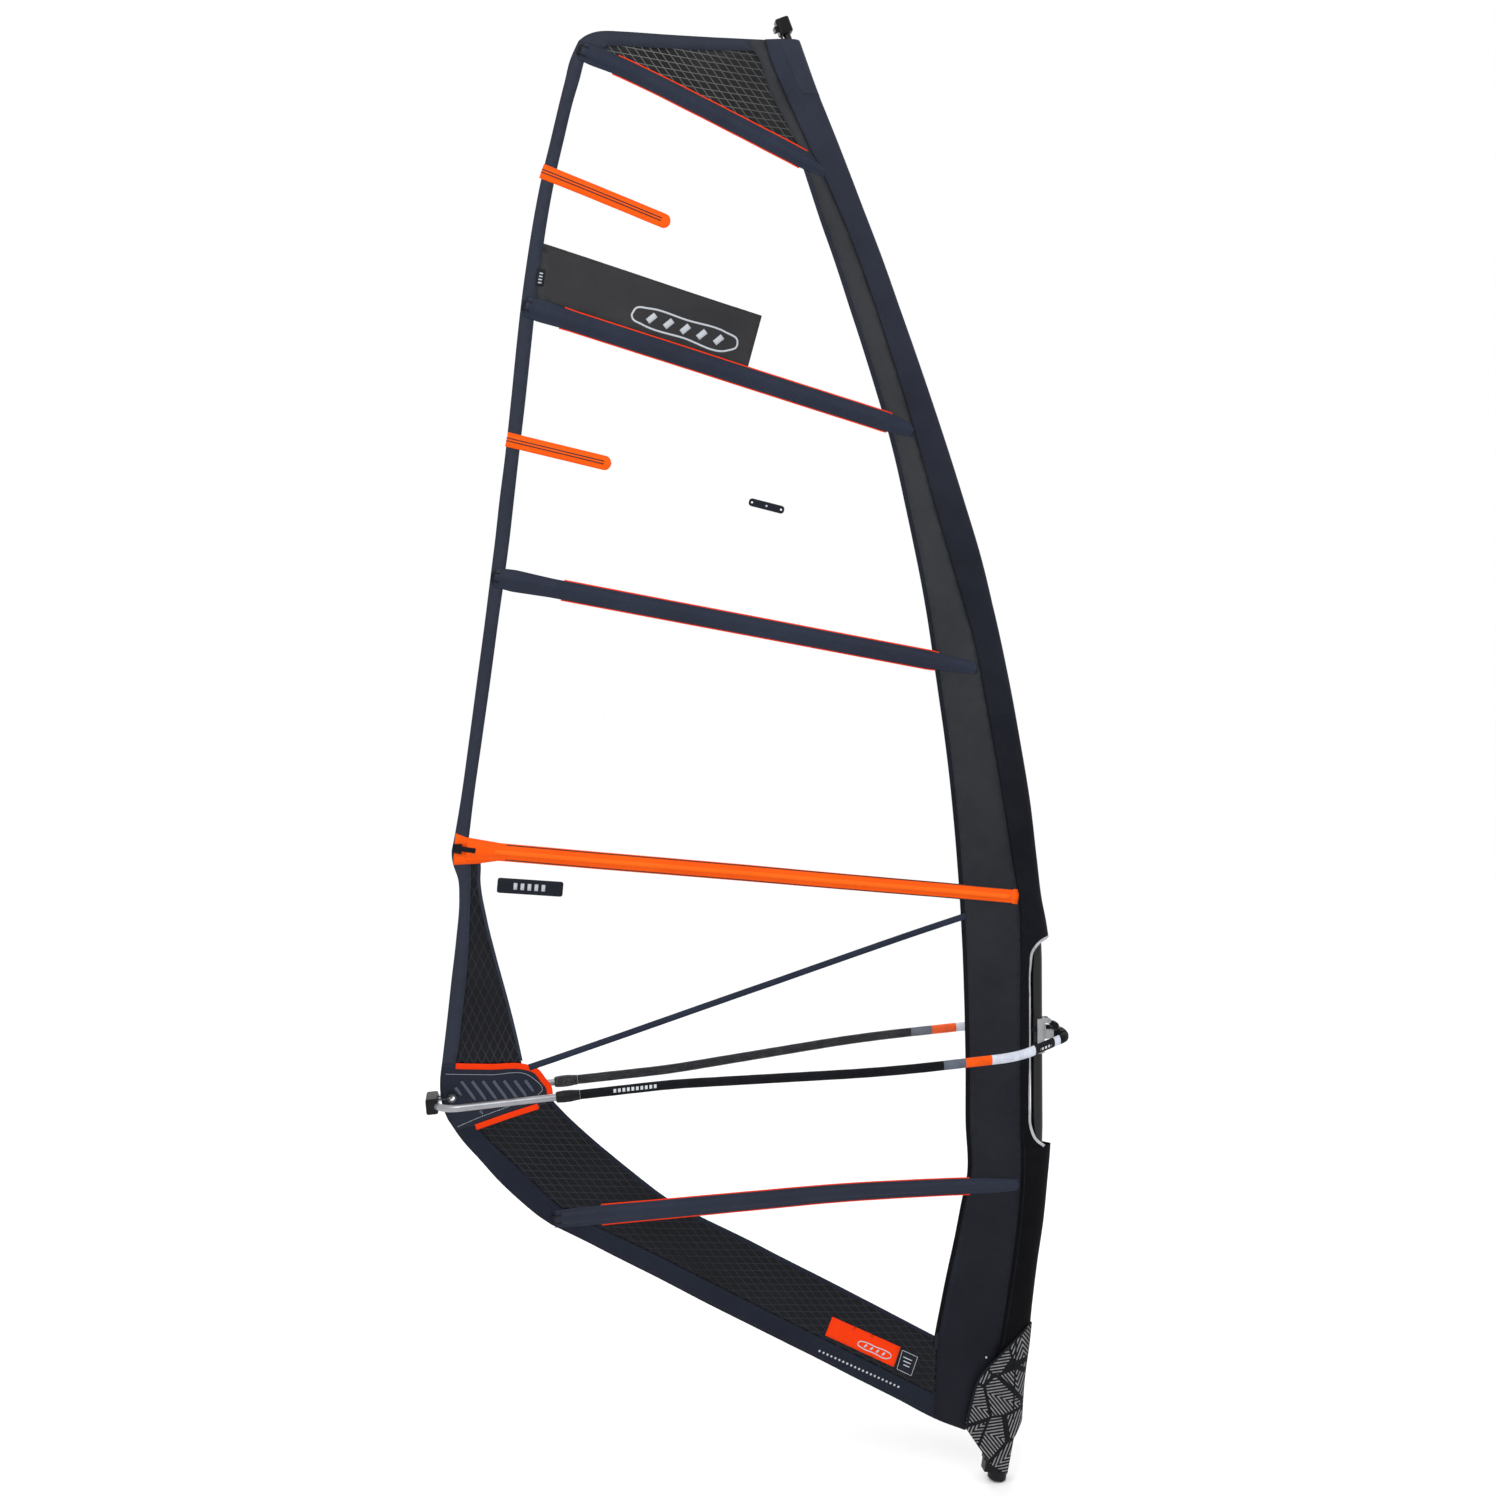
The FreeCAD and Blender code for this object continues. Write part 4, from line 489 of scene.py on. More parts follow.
def metal(name, dark, light, rough=0.3, axis=0, metallic=1.0, brush=0.35, dark_from=None):
    """Brushed, anodised or plated metal: drawing lines along the part, handling marks and pits."""
    m, nt, b, co = nodes_of(name)
    sc = [220.0, 220.0, 220.0]; sc[axis] = 3.0
    br = noise(nt, mapping(nt, co, (0, 0, 0), tuple(sc)), 4.0, 4.0, 0.7)
    n1 = noise(nt, co, 14.0, 5.0, 0.65)
    f = math_(nt, "ADD", math_(nt, "MULTIPLY", br, 0.55), maprange(nt, n1, 0.35, 0.7, 0.0, 0.45), True)
    col = mixc(nt, f, lin(dark), lin(light)); b.inputs["Metallic"].default_value = metallic
    if dark_from is not None:
        d_ = math_(nt, "GREATER_THAN", sep(nt, co, 0), dark_from); col = mixc(nt, d_, col, mixc(nt, f, lin((8, 9, 11)), lin((20, 21, 25))))
        nt.links.new(math_(nt, "MULTIPLY", math_(nt, "SUBTRACT", 1.0, d_), metallic), b.inputs["Metallic"]); b.inputs["Specular IOR Level"].default_value = 0.16
    nt.links.new(col, b.inputs["Base Color"])
    pit = ramp(nt, noise(nt, co, 240.0, 3.0, 0.7), [(0.0, grey(0)), (0.66, grey(0)), (0.74, grey(1)), (1.0, grey(1))])
    nt.links.new(math_(nt, "ADD", maprange(nt, br, 0.25, 0.75, rough-0.08, rough+0.12), math_(nt, "MULTIPLY", pit, 0.2), True), b.inputs["Roughness"])
    bump(nt, br, brush, 0.03, b)
    return m

def carbon(name):
    """Lacquered carbon: 2/2 twill bundles under a clear coat with orange peel and fine scratches."""
    m, nt, b, co = nodes_of(name)
    mp = mapping(nt, co, (0, 0.14, 0))
    a = wave(nt, mapping(nt, mp, (0, math.radians(45), 0)), 4.2, "X"); c = wave(nt, mapping(nt, mp, (0, math.radians(-45), 0)), 4.2, "X")
    tw = math_(nt, "GREATER_THAN", a, c)
    fib = wave(nt, mapping(nt, mp, (0, math.radians(45), 0)), 0.5, "X", 1.0)
    f = math_(nt, "ADD", math_(nt, "MULTIPLY", tw, 0.5), math_(nt, "MULTIPLY", fib, 0.25), True)
    col = mixc(nt, f, lin((5, 5, 7)), lin((17, 18, 21)))
    nt.links.new(col, b.inputs["Base Color"])
    nt.links.new(maprange(nt, noise(nt, co, 20.0, 4.0), 0.3, 0.7, 0.26, 0.42), b.inputs["Roughness"])
    b.inputs["Specular IOR Level"].default_value = 0.2
    b.inputs["Coat Weight"].default_value = 0.25; b.inputs["Coat Roughness"].default_value = 0.14
    bump(nt, math_(nt, "ADD", math_(nt, "MULTIPLY", tw, 0.5), noise(nt, co, 300.0, 2.0)), 0.18, 0.06, b)
    return m

def xply(name, base=(4, 5, 8), line=(66, 65, 66), rough=0.24, period=19.0, film=(12, 13, 18), angles=(38.0, 83.0), width=0.982, spec=0.16):
    """Laminate of dark film with two skewed sets of load threads inside, glossy, with lamination creases."""
    m, nt, b, co = nodes_of(name)
    def lines(r, p, w):
        return ramp(nt, wave(nt, mapping(nt, co, (0, math.radians(r), 0)), p, "X", 0.12, 0.5), [(0.0, grey(0)), (w-0.012, grey(0)), (w, grey(1)), (1.0, grey(1))])
    l1, l2 = lines(angles[0], period, width), lines(angles[1], period*1.04, width)
    g = math_(nt, "MAXIMUM", l1, l2)
    slow = noise(nt, co, 5.0, 5.0, 0.6)
    body = mixc(nt, maprange(nt, slow, 0.35, 0.7, 0.0, 1.0), lin(base), lin(film))
    fade = maprange(nt, noise(nt, co, 2.3, 3.0), 0.35, 0.65, 0.3, 1.0)
    nt.links.new(mixc(nt, math_(nt, "MULTIPLY", g, fade), body, lin(line)), b.inputs["Base Color"])
    cr = noise(nt, mapping(nt, co, (0, 0.6, 0), (7.0, 7.0, 2.6)), 3.0, 6.0, 0.7)
    nt.links.new(math_(nt, "ADD", maprange(nt, cr, 0.3, 0.75, rough-0.08, rough+0.16), math_(nt, "MULTIPLY", g, 0.2), True), b.inputs["Roughness"])
    b.inputs["Specular IOR Level"].default_value = spec
    n1 = bump(nt, cr, 0.4, 9.0, None)
    bump(nt, g, 0.4, 0.12, b, n1)
    return m

def clear_film(name):
    """Clear monofilm: faint reflections, a painted reflection where the pale film colour turns more opaque at grazing
    angles, handling creases and milky scuffs.
    """
    m, nt, b, co = nodes_of(name)
    b.inputs["Base Color"].default_value = (0.9, 0.92, 0.93, 1)
    col = mixc(nt, noise(nt, co, 2.0, 3.0), (0.62, 0.64, 0.66, 1), (0.78, 0.79, 0.8, 1))
    nt.links.new(col, b.inputs["Base Color"])
    # painted reflection: the pale film colour grows more opaque towards grazing angles, standing in for the film's
    # Fresnel reflection
    lw = nt.nodes.new("ShaderNodeLayerWeight"); lw.inputs["Blend"].default_value = 0.25
    painted_grazing_reflection = maprange(nt, lw.outputs["Facing"], 0.3, 1.0, 0.012, 0.35)
    cr = noise(nt, mapping(nt, co, (0, 0.5, 0), (9.0, 9.0, 2.0)), 3.0, 6.0, 0.72)
    line = ramp(nt, cr, [(0.0, grey(0)), (0.485, grey(0)), (0.5, grey(1)), (0.515, grey(0)), (1.0, grey(0))])
    scuff = ramp(nt, noise(nt, co, 7.0, 6.0, 0.7), [(0.0, grey(0)), (0.55, grey(0)), (0.8, grey(1)), (1.0, grey(1))])
    al = math_(nt, "ADD", painted_grazing_reflection, math_(nt, "ADD", math_(nt, "MULTIPLY", line, 0.02), math_(nt, "MULTIPLY", scuff, 0.012)), True)
    nt.links.new(al, b.inputs["Alpha"])
    nt.links.new(maprange(nt, scuff, 0, 1, 0.06, 0.3), b.inputs["Roughness"])
    b.inputs["Specular IOR Level"].default_value = 0.5
    bump(nt, cr, 0.4, 10.0, b)
    return m

def foam_grip(name):
    """Moulded foam grip: colour bands along the boom, fine pebble grain, palm wear."""
    m, nt, b, co = nodes_of(name)
    x = sep(nt, co, 0)
    f = maprange(nt, x, -1.4, 0.2, 0.0, 1.0)
    def pos(mm_): return (mm_/1000.0 + 1.4)/1.6
    blk, gry, org, wht = lin((13, 14, 19)), lin((92, 98, 110)), lin((232, 84, 12)), lin((200, 205, 218))
    col = ramp(nt, f, [(0.0, blk), (pos(-248), gry), (pos(-175), org), (pos(-98), wht), (pos(55), lin((16, 18, 24))), (pos(137), wht), (pos(159), lin((9, 10, 12)))], "CONSTANT")
    # rows of short pale bars where the grip carries a printed mark
    y, z = sep(nt, co, 1), sep(nt, co, 2)
    tilt = math.radians(BOOM_TILT)
    up = math_(nt, "SUBTRACT", math_(nt, "SUBTRACT", math_(nt, "MULTIPLY", z, math.cos(tilt)), math_(nt, "MULTIPLY", x, math.sin(tilt))),
               BOOM_HUB[1]*MM*math.cos(tilt) - BOOM_HUB[0]*MM*math.sin(tilt))
    def span(v, lo_, hi_): return math_(nt, "MULTIPLY", math_(nt, "GREATER_THAN", v, lo_), math_(nt, "LESS_THAN", v, hi_))
    bars = math_(nt, "LESS_THAN", math_(nt, "FRACT", math_(nt, "DIVIDE", x, 0.0135)), 0.6)
    m1 = math_(nt, "MULTIPLY", span(x, -1.233, -1.099), span(up, -0.002, 0.0085)); m2 = math_(nt, "MULTIPLY", span(x, 0.075, 0.122), span(up, -0.003, 0.004))
    mk_ = math_(nt, "MULTIPLY", math_(nt, "MULTIPLY", math_(nt, "MAXIMUM", m1, m2), bars), math_(nt, "LESS_THAN", y, 0.0))
    col = mixc(nt, mk_, col, lin((196, 200, 206)))
    n1 = noise(nt, co, 30.0, 4.0, 0.6); n2 = nt.nodes.new("ShaderNodeTexVoronoi"); n2.inputs["Scale"].default_value = 700.0
    nt.links.new(co, n2.inputs["Vector"])
    col = mixc(nt, maprange(nt, n1, 0.4, 0.8, 0.0, 0.35), col, lin((60, 62, 68)), "MULTIPLY")
    nt.links.new(col, b.inputs["Base Color"])
    nt.links.new(maprange(nt, n1, 0.3, 0.7, 0.62, 0.85), b.inputs["Roughness"])
    b.inputs["Specular IOR Level"].default_value = 0.12
    bump(nt, n2.outputs["Distance"], 0.5, 0.3, b)
    return m

def rope_mat(name, a, c):
    m, nt, b, co = nodes_of(name)
    w = wave(nt, mapping(nt, co, (0.6, 0.7, 0.5)), 1.6, "X", 1.0); v = wave(nt, mapping(nt, co, (-0.6, -0.7, -0.5)), 1.6, "Z", 1.0)
    f = math_(nt, "MULTIPLY", w, v)
    nt.links.new(mixc(nt, math_(nt, "ADD", f, math_(nt, "MULTIPLY", noise(nt, co, 70.0), 0.4), True), lin(a), lin(c)), b.inputs["Base Color"])
    nt.links.new(maprange(nt, f, 0, 1, 0.65, 0.85), b.inputs["Roughness"]); b.inputs["Sheen Weight"].default_value = 0.2
    bump(nt, f, 0.7, 0.3, b); return m

def piping_mat(name):
    """Silver grey coated piping: fine ribs along, soft shine, scuffs."""
    m, nt, b, co = nodes_of(name)
    n = noise(nt, co, 40.0, 4.0); r = wave(nt, co, 1.4, "Z", 0.6)
    nt.links.new(mixc(nt, math_(nt, "ADD", math_(nt, "MULTIPLY", r, 0.3), maprange(nt, n, 0.35, 0.7, 0, 0.7), True), lin((138, 141, 145)), lin((186, 188, 190))), b.inputs["Base Color"])
    nt.links.new(maprange(nt, n, 0.3, 0.7, 0.32, 0.5), b.inputs["Roughness"]); b.inputs["Metallic"].default_value = 0.25
    bump(nt, r, 0.4, 0.12, b); return m

def geometric(name):
    """Neoprene-backed print: cells of nested chevron lines in light grey on black, each turned its own way."""
    m, nt, b, co = nodes_of(name)
    flat = mapping(nt, co, (0, 0.14, 0), (1.0, 0.05, 1.0))
    def vor(feature):
        v = nt.nodes.new("ShaderNodeTexVoronoi"); v.feature = feature; v.inputs["Scale"].default_value = 8.5
        v.inputs["Randomness"].default_value = 0.85; nt.links.new(flat, v.inputs["Vector"]); return v
    v = vor("F1"); rnd = sep(nt, v.outputs["Color"], 0)
    d = nt.nodes.new("ShaderNodeVectorMath"); d.operation = "SUBTRACT"
    nt.links.new(flat, d.inputs[0]); nt.links.new(v.outputs["Position"], d.inputs[1])
    dx, dz = sep(nt, d.outputs[0], 0), sep(nt, d.outputs[0], 2)
    a = math_(nt, "MULTIPLY", math_(nt, "FLOOR", math_(nt, "MULTIPLY", rnd, 4.0)), math.pi/3.0)
    ca, sa = math_(nt, "COSINE", a), math_(nt, "SINE", a)
    u = math_(nt, "ADD", math_(nt, "MULTIPLY", dx, ca), math_(nt, "MULTIPLY", dz, sa))
    w_ = math_(nt, "SUBTRACT", math_(nt, "MULTIPLY", dz, ca), math_(nt, "MULTIPLY", dx, sa))
    q = math_(nt, "ADD", math_(nt, "MULTIPLY", math_(nt, "ABSOLUTE", u), 0.86), math_(nt, "MULTIPLY", w_, 0.5))
    line = math_(nt, "LESS_THAN", math_(nt, "FRACT", math_(nt, "DIVIDE", math_(nt, "ADD", q, 1.0), 0.0098)), 0.4)
    edge = math_(nt, "GREATER_THAN", vor("DISTANCE_TO_EDGE").outputs["Distance"], 0.035)
    side = maprange(nt, sep(nt, co, 0), 0.075, 0.115, 1.0, 0.25)
    n = noise(nt, co, 60.0, 4.0)
    pat = math_(nt, "MULTIPLY", math_(nt, "MULTIPLY", math_(nt, "MULTIPLY", line, edge), side), maprange(nt, n, 0.3, 0.6, 0.65, 1.0))
    knit = wave(nt, co, 0.9, "Z", 0.5)
    nt.links.new(mixc(nt, pat, lin((13, 14, 17)), lin((128, 128, 130))), b.inputs["Base Color"])
    nt.links.new(maprange(nt, n, 0.3, 0.7, 0.6, 0.8), b.inputs["Roughness"]); b.inputs["Specular IOR Level"].default_value = 0.12
    b.inputs["Sheen Weight"].default_value = 0.02
    bump(nt, math_(nt, "ADD", math_(nt, "MULTIPLY", pat, 0.6), knit), 0.4, 0.15, b)
    return m

M = {
    # sleeve and luff cloth: the last tuple is painted shade (z from, z to, in metres, then darker colours), darkening
    # each cloth towards the bottom
    "sleeve": fabric("sleeve_cloth", (35, 39, 50), (52, 56, 69), 0.72, 1.2, 0.3, 0.08, 0.02, 0.5, 0.3, 0.3, (0.9, 4.4, ((3, 3, 6), (9, 9, 14)))),
    "luff": fabric("luff_cloth", (40, 41, 44), (56, 57, 60), 0.66, 1.0, 0.28, 0.1, 0.02, 0.4, 0.5, 0.3, (0.5, 3.0, ((15, 16, 23), (26, 29, 38)))),
    "leech": fabric("leech_tape_cloth", (32, 37, 48), (48, 54, 67), 0.62, 0.9, 0.1, 0.12),
    "hem": fabric("hem_cloth", (14, 18, 29), (30, 36, 50), 0.64, 0.9, 0.5, 0.12),
    "patch": fabric("patch_cloth", (22, 26, 37), (38, 44, 58), 0.5, 0.8, 0.2, 0.12, 0.02, 0.35),
    "rib": fabric("rib_cloth", (62, 68, 82), (84, 91, 108), 0.45, 0.8, 0.2, 0.25, 0.02, 0.3),
    "pocket": fabric("pocket_cloth", (17, 22, 37), (36, 44, 63), 0.46, 0.8, 0.15, 0.2, 0.02, 0.35, 0.45, 0.35),
    "orange": fabric("orange_cloth", (224, 72, 3), (244, 96, 6), 0.6, 0.9, 0.1, 0.1, 0.02, 0.35, 0.5, 0.2),
    # painted highlight: lighter orange for the strip along the crown of pocket 4, where light catches the rounded
    # pocket
    "orange_crown_highlight": fabric("orange_crown_highlight_cloth", (238, 88, 8), (250, 112, 22), 0.5, 0.8, 0.1, 0.1, 0.02, 0.3),
    "tape": fabric("orange_tape", (216, 46, 0), (236, 60, 3), 0.55, 0.9, 0.2, 0.08, 0.02, 0.3),
    "insignia": fabric("insignia_print", (36, 36, 38), (54, 54, 56), 0.55, 0.7, 0.1, 0.1, 0.02, 0.2, 0.55, 0.35),
    "tag": fabric("tag_print", (15, 18, 26), (28, 32, 42), 0.5, 0.7, 0.1, 0.12, 0.02, 0.2),
    "webbing": fabric("webbing_weave", (10, 12, 17), (28, 31, 38), 0.7, 2.2, 0.6, 0.1, 0.03, 0.9),
    "strap": fabric("load_strap_weave", (26, 31, 46), (46, 53, 70), 0.66, 1.6, -0.3, 0.1, 0.03, 0.8),
    "thread": fabric("dark_thread", (44, 49, 60), (66, 72, 84), 0.6, 0.5, 0.1, 0.1, 0.02, 0.3),
    "thread_w": fabric("white_thread", (176, 180, 188), (212, 215, 220), 0.6, 0.5, 0.1, 0.1, 0.02, 0.3),
    "xply": xply("xply_laminate", (3, 4, 8), (38, 40, 48), 0.24, 20.0, (8, 10, 18), (38.0, 85.0)),
    "xhead": xply("xply_head", (16, 17, 20), (96, 95, 92), 0.3, 19.0, (32, 33, 36), (38.0, 83.0), 0.975, 0.14),
    "xclew": xply("xply_clew", (4, 5, 10), (44, 45, 54), 0.24, 22.0, (14, 15, 21), (24.0, -24.0), 0.982),
    "film": clear_film("clear_film"), "grip": foam_grip("grip_foam"), "carbon": carbon("carbon_lacquer"),
    "piping": piping_mat("silver_piping"), "fairing": geometric("fairing_print"),
    "rope": rope_mat("braided_rope", (14, 15, 18), (48, 50, 56)), "rope2": rope_mat("braided_downhaul", (20, 21, 25), (76, 78, 84)),
    "black": plastic("black_moulding", (8, 9, 12), (20, 21, 26)), "clamp": plastic("grey_moulding", (128, 129, 131), (158, 159, 161), 0.4, dark_from=0.166),
    "sheave_p": plastic("sheave_moulding", (150, 152, 155), (186, 188, 189), 0.36, 0.3, 700.0, 0.15),
    "alu": metal("drawn_aluminium", (122, 124, 130), (172, 174, 178), 0.3, 0, 0.75), "arms": metal("arm_aluminium", (122, 124, 130), (172, 174, 178), 0.3, 0, 0.75, dark_from=0.150),
    "steel": metal("polished_steel", (110, 112, 116), (158, 160, 163), 0.24, 2),
    "chrome": metal("grommet_steel", (66, 68, 73), (108, 110, 115), 0.3, 1),
    "arm": metal("anodised_arm", (22, 23, 26), (48, 49, 53), 0.34, 0),
    "mark": fabric("pale_print", (160, 164, 172), (204, 207, 212), 0.55, 0.7, 0.1, 0.1, 0.02, 0.2),
}

# CAD nodes that stay, each with its own procedural material
KEEP = {"mast_bottom": "carbon", "mast_top": "carbon", "mast_ferrule": "carbon", "battens": "carbon", "batten_tensioners": "black",
        "clew_grommet": "chrome", "extension_base": "black", "extension_tube": "arm", "extension_collar": "black", "tack_block": "black",
        "head_cap": "black", "clamp_body": "clamp", "lever_pin": "steel", "boom_arms": "arms", "front_hub_collars": "black",
        "tail_collar_near": "black", "tail_collar_far": "black", "tail_tube": "alu", "tail_fitting": "black", "clamp_lever": "black",
        "tail_sheave": "sheave_p", "tail_clip_near": "black", "tail_clip_far": "black", "tack_sheave_near": "sheave_p",
        "tack_sheave_far": "sheave_p", "base_sheave": "sheave_p", "base_release_button": "black"}
for n, k in KEEP.items():
    d = NODES[n].data
    if len(d.materials) == 0: d.materials.append(M[k])
    for s_ in NODES[n].material_slots: s_.material = M[k]

# ============================================================ sail panels, one shared triangulation
P_OUT = poly(("s", HEADTOP), ("s", LEECH), ("s", CLEWLOW), ("s", FOOT), ("l", [FOOT[-1], SEAM[-1]]), ("s", SEAM[::-1]))
Pp = {
    "luff": poly(("l", [(-800,4700),(-800,4425)] + HEADDIAG), ("s", LUFF_IN), ("l", [LUFF_IN[-1], (-205,300), (-216,60), (500,60), (500,4700)])),
    "leech": poly(("l", [(-1950,1405), LEECH_LOW_IN[0]]), ("s", LEECH_LOW_IN), ("s", LEECH_IN), ("l", [LEECH_IN[-1], (-1223.2,4414.5), (-788.8,4418.3), (-600,4420), (-600,4750), (-1950,4750)])),
    "patch": poly(("l", [(-1950,1405)] + PATCH + [(-1950,1150)])),
    "clew": poly(("l", [(-1950,2075), CLEW_IN[0]]), ("s", CLEW_IN), ("l", [CLEW_IN[-1], (-1495,1370), (-1950,1370)])),
    "foot": poly(("s", FOOT_UP), ("l", [FOOT_UP[-1], (-150,400), (-150,0), (-1950,0), (-1950,1275)])),
    "hem": poly(("l", [(-1950,1300), HEM_IN[0]]), ("s", HEM_IN), ("l", [HEM_IN[-1], (-100,220), (-100,0), (-1950,0)])),
}
def above(axis):
    a, b = axis[0], axis[-1]
    return poly(("l", [(-1950, a[1] + (a[0]+1950)*0.05), a]), ("s", axis), ("l", [b, (400, b[1]), (400, 4800), (-1950, 4800)]))
AB = [above(b) for b in (B1, B2, B3, B4, B5)]
def dense(pl, step=16.0):
    out = []
    for (x0, z0), (x1, z1) in zip(pl, pl[1:] + pl[:1]):
        n = max(1, int(math.hypot(x1-x0, z1-z0)/step)); out += [(x0+(x1-x0)*k/n, z0+(z1-z0)*k/n) for k in range(n)]
    return out
OUT_D = dense(P_OUT)
def clip_line(pl):
    """The parts of a closed line that run inside the sail (with a point to spare)."""
    d = dense(pl) + [pl[0]]; ok = inside(np.array(d), P_OUT)
    runs, cur = [], []
    for i, p in enumerate(d):
        near = ok[i] or (i > 0 and ok[i-1]) or (i < len(d)-1 and ok[i+1])
        if near: cur.append(p)
        elif cur: runs.append(cur); cur = []
    if len(cur) > 1: runs.append(cur)
    return [r for r in runs if len(r) > 1]
lines = []
for pl in list(Pp.values()) + AB: lines += clip_line(pl)
ring = [(RING[0]+10.5*math.cos(a), RING[1]+10.5*math.sin(a)) for a in np.linspace(0, 2*math.pi, 33)[:-1]]
SP, SF = cdt(lines, OUT_D, 21.0, [ring], 0.3)
C = SP[SF].mean(axis=1); left = np.ones(len(SF), bool); groups = {}
def take(k, mask):
    global left
    groups[k] = left & mask; left = left & ~mask
take("luff_panel", inside(C, Pp["luff"])); take("leech_tape", inside(C, Pp["leech"])); take("clew_patch", inside(C, Pp["patch"]))
take("clew_panel", inside(C, Pp["clew"]))
ft = inside(C, Pp["foot"]); take("foot_hem", ft & inside(C, Pp["hem"])); take("foot_panel", ft)
take("head_panel", inside(C, AB[0]))
for k in range(4): take("window_%d" % (k+1), inside(C, AB[k+1]))
take("window_5", np.ones(len(SF), bool))
PANEL = {"luff_panel": ("luff", "luff_film", 1.1), "leech_tape": ("leech", "leech_tape", 1.3), "clew_patch": ("patch", "patch_fabric", 1.6),
         "clew_panel": ("xclew", "xply", 0.8), "foot_hem": ("hem", "hem_fabric", 1.3), "foot_panel": ("xply", "xply", 0.8), "head_panel": ("xhead", "xply", 0.8)}
SAIL = {}
for k, mask in groups.items():
    mk, sl, t = PANEL.get(k, ("film", "film", 0.4))
    ob = piece_from(SP, SF[mask], "sail_" + k, 0.0, M[mk], sl, t)
    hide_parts(k); cloth(ob); SAIL[k] = ob

# ============================================================ batten pockets
def xs_at(axis, x):
    """Share of the axis' length at which it reaches X."""
    P = np.array(smooth(axis, 5.0)); L = np.concatenate([[0], np.cumsum(np.linalg.norm(np.diff(P, axis=0), axis=1))])
    return float(np.interp(x, P[:, 0], L/L[-1]))
PROF = [(-0.5,0.6),(-0.40,0.7),(-0.31,1.4),(-0.25,4.4),(-0.16,7.2),(-0.06,8.3),(0.06,8.3),(0.16,7.2),(0.25,4.4),(0.31,1.4),(0.40,0.7),(0.5,0.6)]
PB = [("1", B1, [(0,54),(0.06,60),(0.15,54),(0.9,52),(1,34)], "pocket", (-1200,-640)), ("2", B2, [(0,58),(0.045,67),(0.12,58),(0.93,57),(1,36)], "pocket", (-1362,-372)),
      ("3", B3, [(0,56),(0.045,66),(0.12,57),(0.9,56),(1,34)], "pocket", (-1366,-214)), ("4", B4, [(0,80),(0.08,54),(0.5,52),(1,47)], "orange", None),
      ("5", B5, [(0,52),(0.06,60),(0.2,57),(0.8,52),(0.93,50),(1,36)], "pocket", (-1262,-93))]
for n, ax, w, mk, edge in PB:
    L = frame_of(ax, 50)[5]; s0 = (40.0 if n == "4" else 9.0)/L
    cut = 0.0
    pk = channel("pocket_cloth_" + n, ax, w, PROF, M[mk], "pocket_fabric" if mk == "pocket" else "orange_pocket", s0, 1.0-cut,
                 hfun=lambda s: 1.0 - 0.35*max(0.0, (s-0.93)/0.07) + 0.16*max(0.0, 1-s/0.05))
    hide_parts("batten_pocket_" + n); cloth(pk, (pk["w"], pk["l"]), 2)
    wt = [(a, b) for a, b in w]
    if edge:
        a, c = xs_at(ax, edge[0]), xs_at(ax, edge[1])
        e = ribbon("pocket_edge_" + n, ax, [(q, v + 7.0) for q, v in wt], -1.0, M["tape"], "orange_pocket", 0.5, a, c, 5)
        cloth(e, (e["w"], e["l"]))
        e = ribbon("pocket_back_" + n, ax, wt, 0.75, M["pocket"], "pocket_fabric", 0.5, a, c, 5)
        cloth(e, (e["w"], e["l"]))
    else:
        # painted highlight: a lighter orange strip laid along the crown of the rounded pocket
        e = ribbon("pocket_4_crown_highlight", ax, 15.0, -10.05, M["orange_crown_highlight"], "orange_pocket", 0.4, 0.07, 0.985, 3)
        cloth(e, (e["w"], e["l"]))
        for sg, nm in ((1, "upper"), (-1, "lower")):
            e = ribbon("pocket_edge_4_" + nm, ax, 3.0, -2.35, M["insignia"], "orange_pocket", 0.5, 0.09, 0.99, 3, shift=sg*22.5)
            cloth(e, (e["w"], e["l"]))
    for sg in (-1, 1):
        x, z, nx, nz, s, L = frame_of(ax, 120); W = np.interp(s/L, [q for q, _ in wt], [v for _, v in wt])
        k = (s/L > s0+0.01) & (s/L < 0.97)
        path = list(zip((x+nx*sg*W*0.42)[k], (z+nz*sg*W*0.42)[k]))
        stitch(path, "thread" if mk == "pocket" else "thread_o", -2.2, pitch=7.0, ln=4.5, w=0.8)
flare = flat_patch("pocket_flare_4", poly(("l", [(-1690.5,2099.5),(-1624,2072),(-1560,2066),(-1560,2014),(-1626,2006),(-1699,2004)])), -1.25, M["orange"], "orange_pocket", 0.6)
cloth(flare)
tie = ribbon("pocket_tie_4", [(-1698,2057),(-1632,2046)], 15.0, -11.2, M["webbing"], "webbing", 1.2)
cloth(tie, (15.0, 67.0))

# mini battens near the leech
for nm, ax in (("a", MINI_A), ("b", MINI_B)):
    pr = [(-0.5,0.6),(-0.36,0.8),(-0.27,3.0),(-0.14,4.8),(0.0,5.2),(0.14,4.8),(0.27,3.0),(0.36,0.8),(0.5,0.6)]
    p_ = channel("mini_pocket_" + nm, ax, [(0,43),(1,43)], pr, M["orange"], "orange_pocket", 0.0, 1.0, 8.0, 0.25, True)
    cloth(p_, (43.0, p_["l"]), 2)
    for sg in (-1, 1):
        e = ribbon("mini_line_%s_%s" % (nm, "up" if sg > 0 else "lo"), ax, 3.0, -7.0, M["insignia"], "insignia_print", 0.5, 0.0, 0.93, 3, shift=sg*4.2)
        cloth(e, (3.0, e["l"]))
    x, z, nx, nz, s, L = frame_of(ax, 60)
    for sg in (-1, 1):
        k = s < L-16; stitch(list(zip((x+nx*sg*17)[k], (z+nz*sg*17)[k])), "thread_o", -2.3, pitch=6.5, ln=4.0, w=0.8)
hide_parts("mini_batten_pockets")

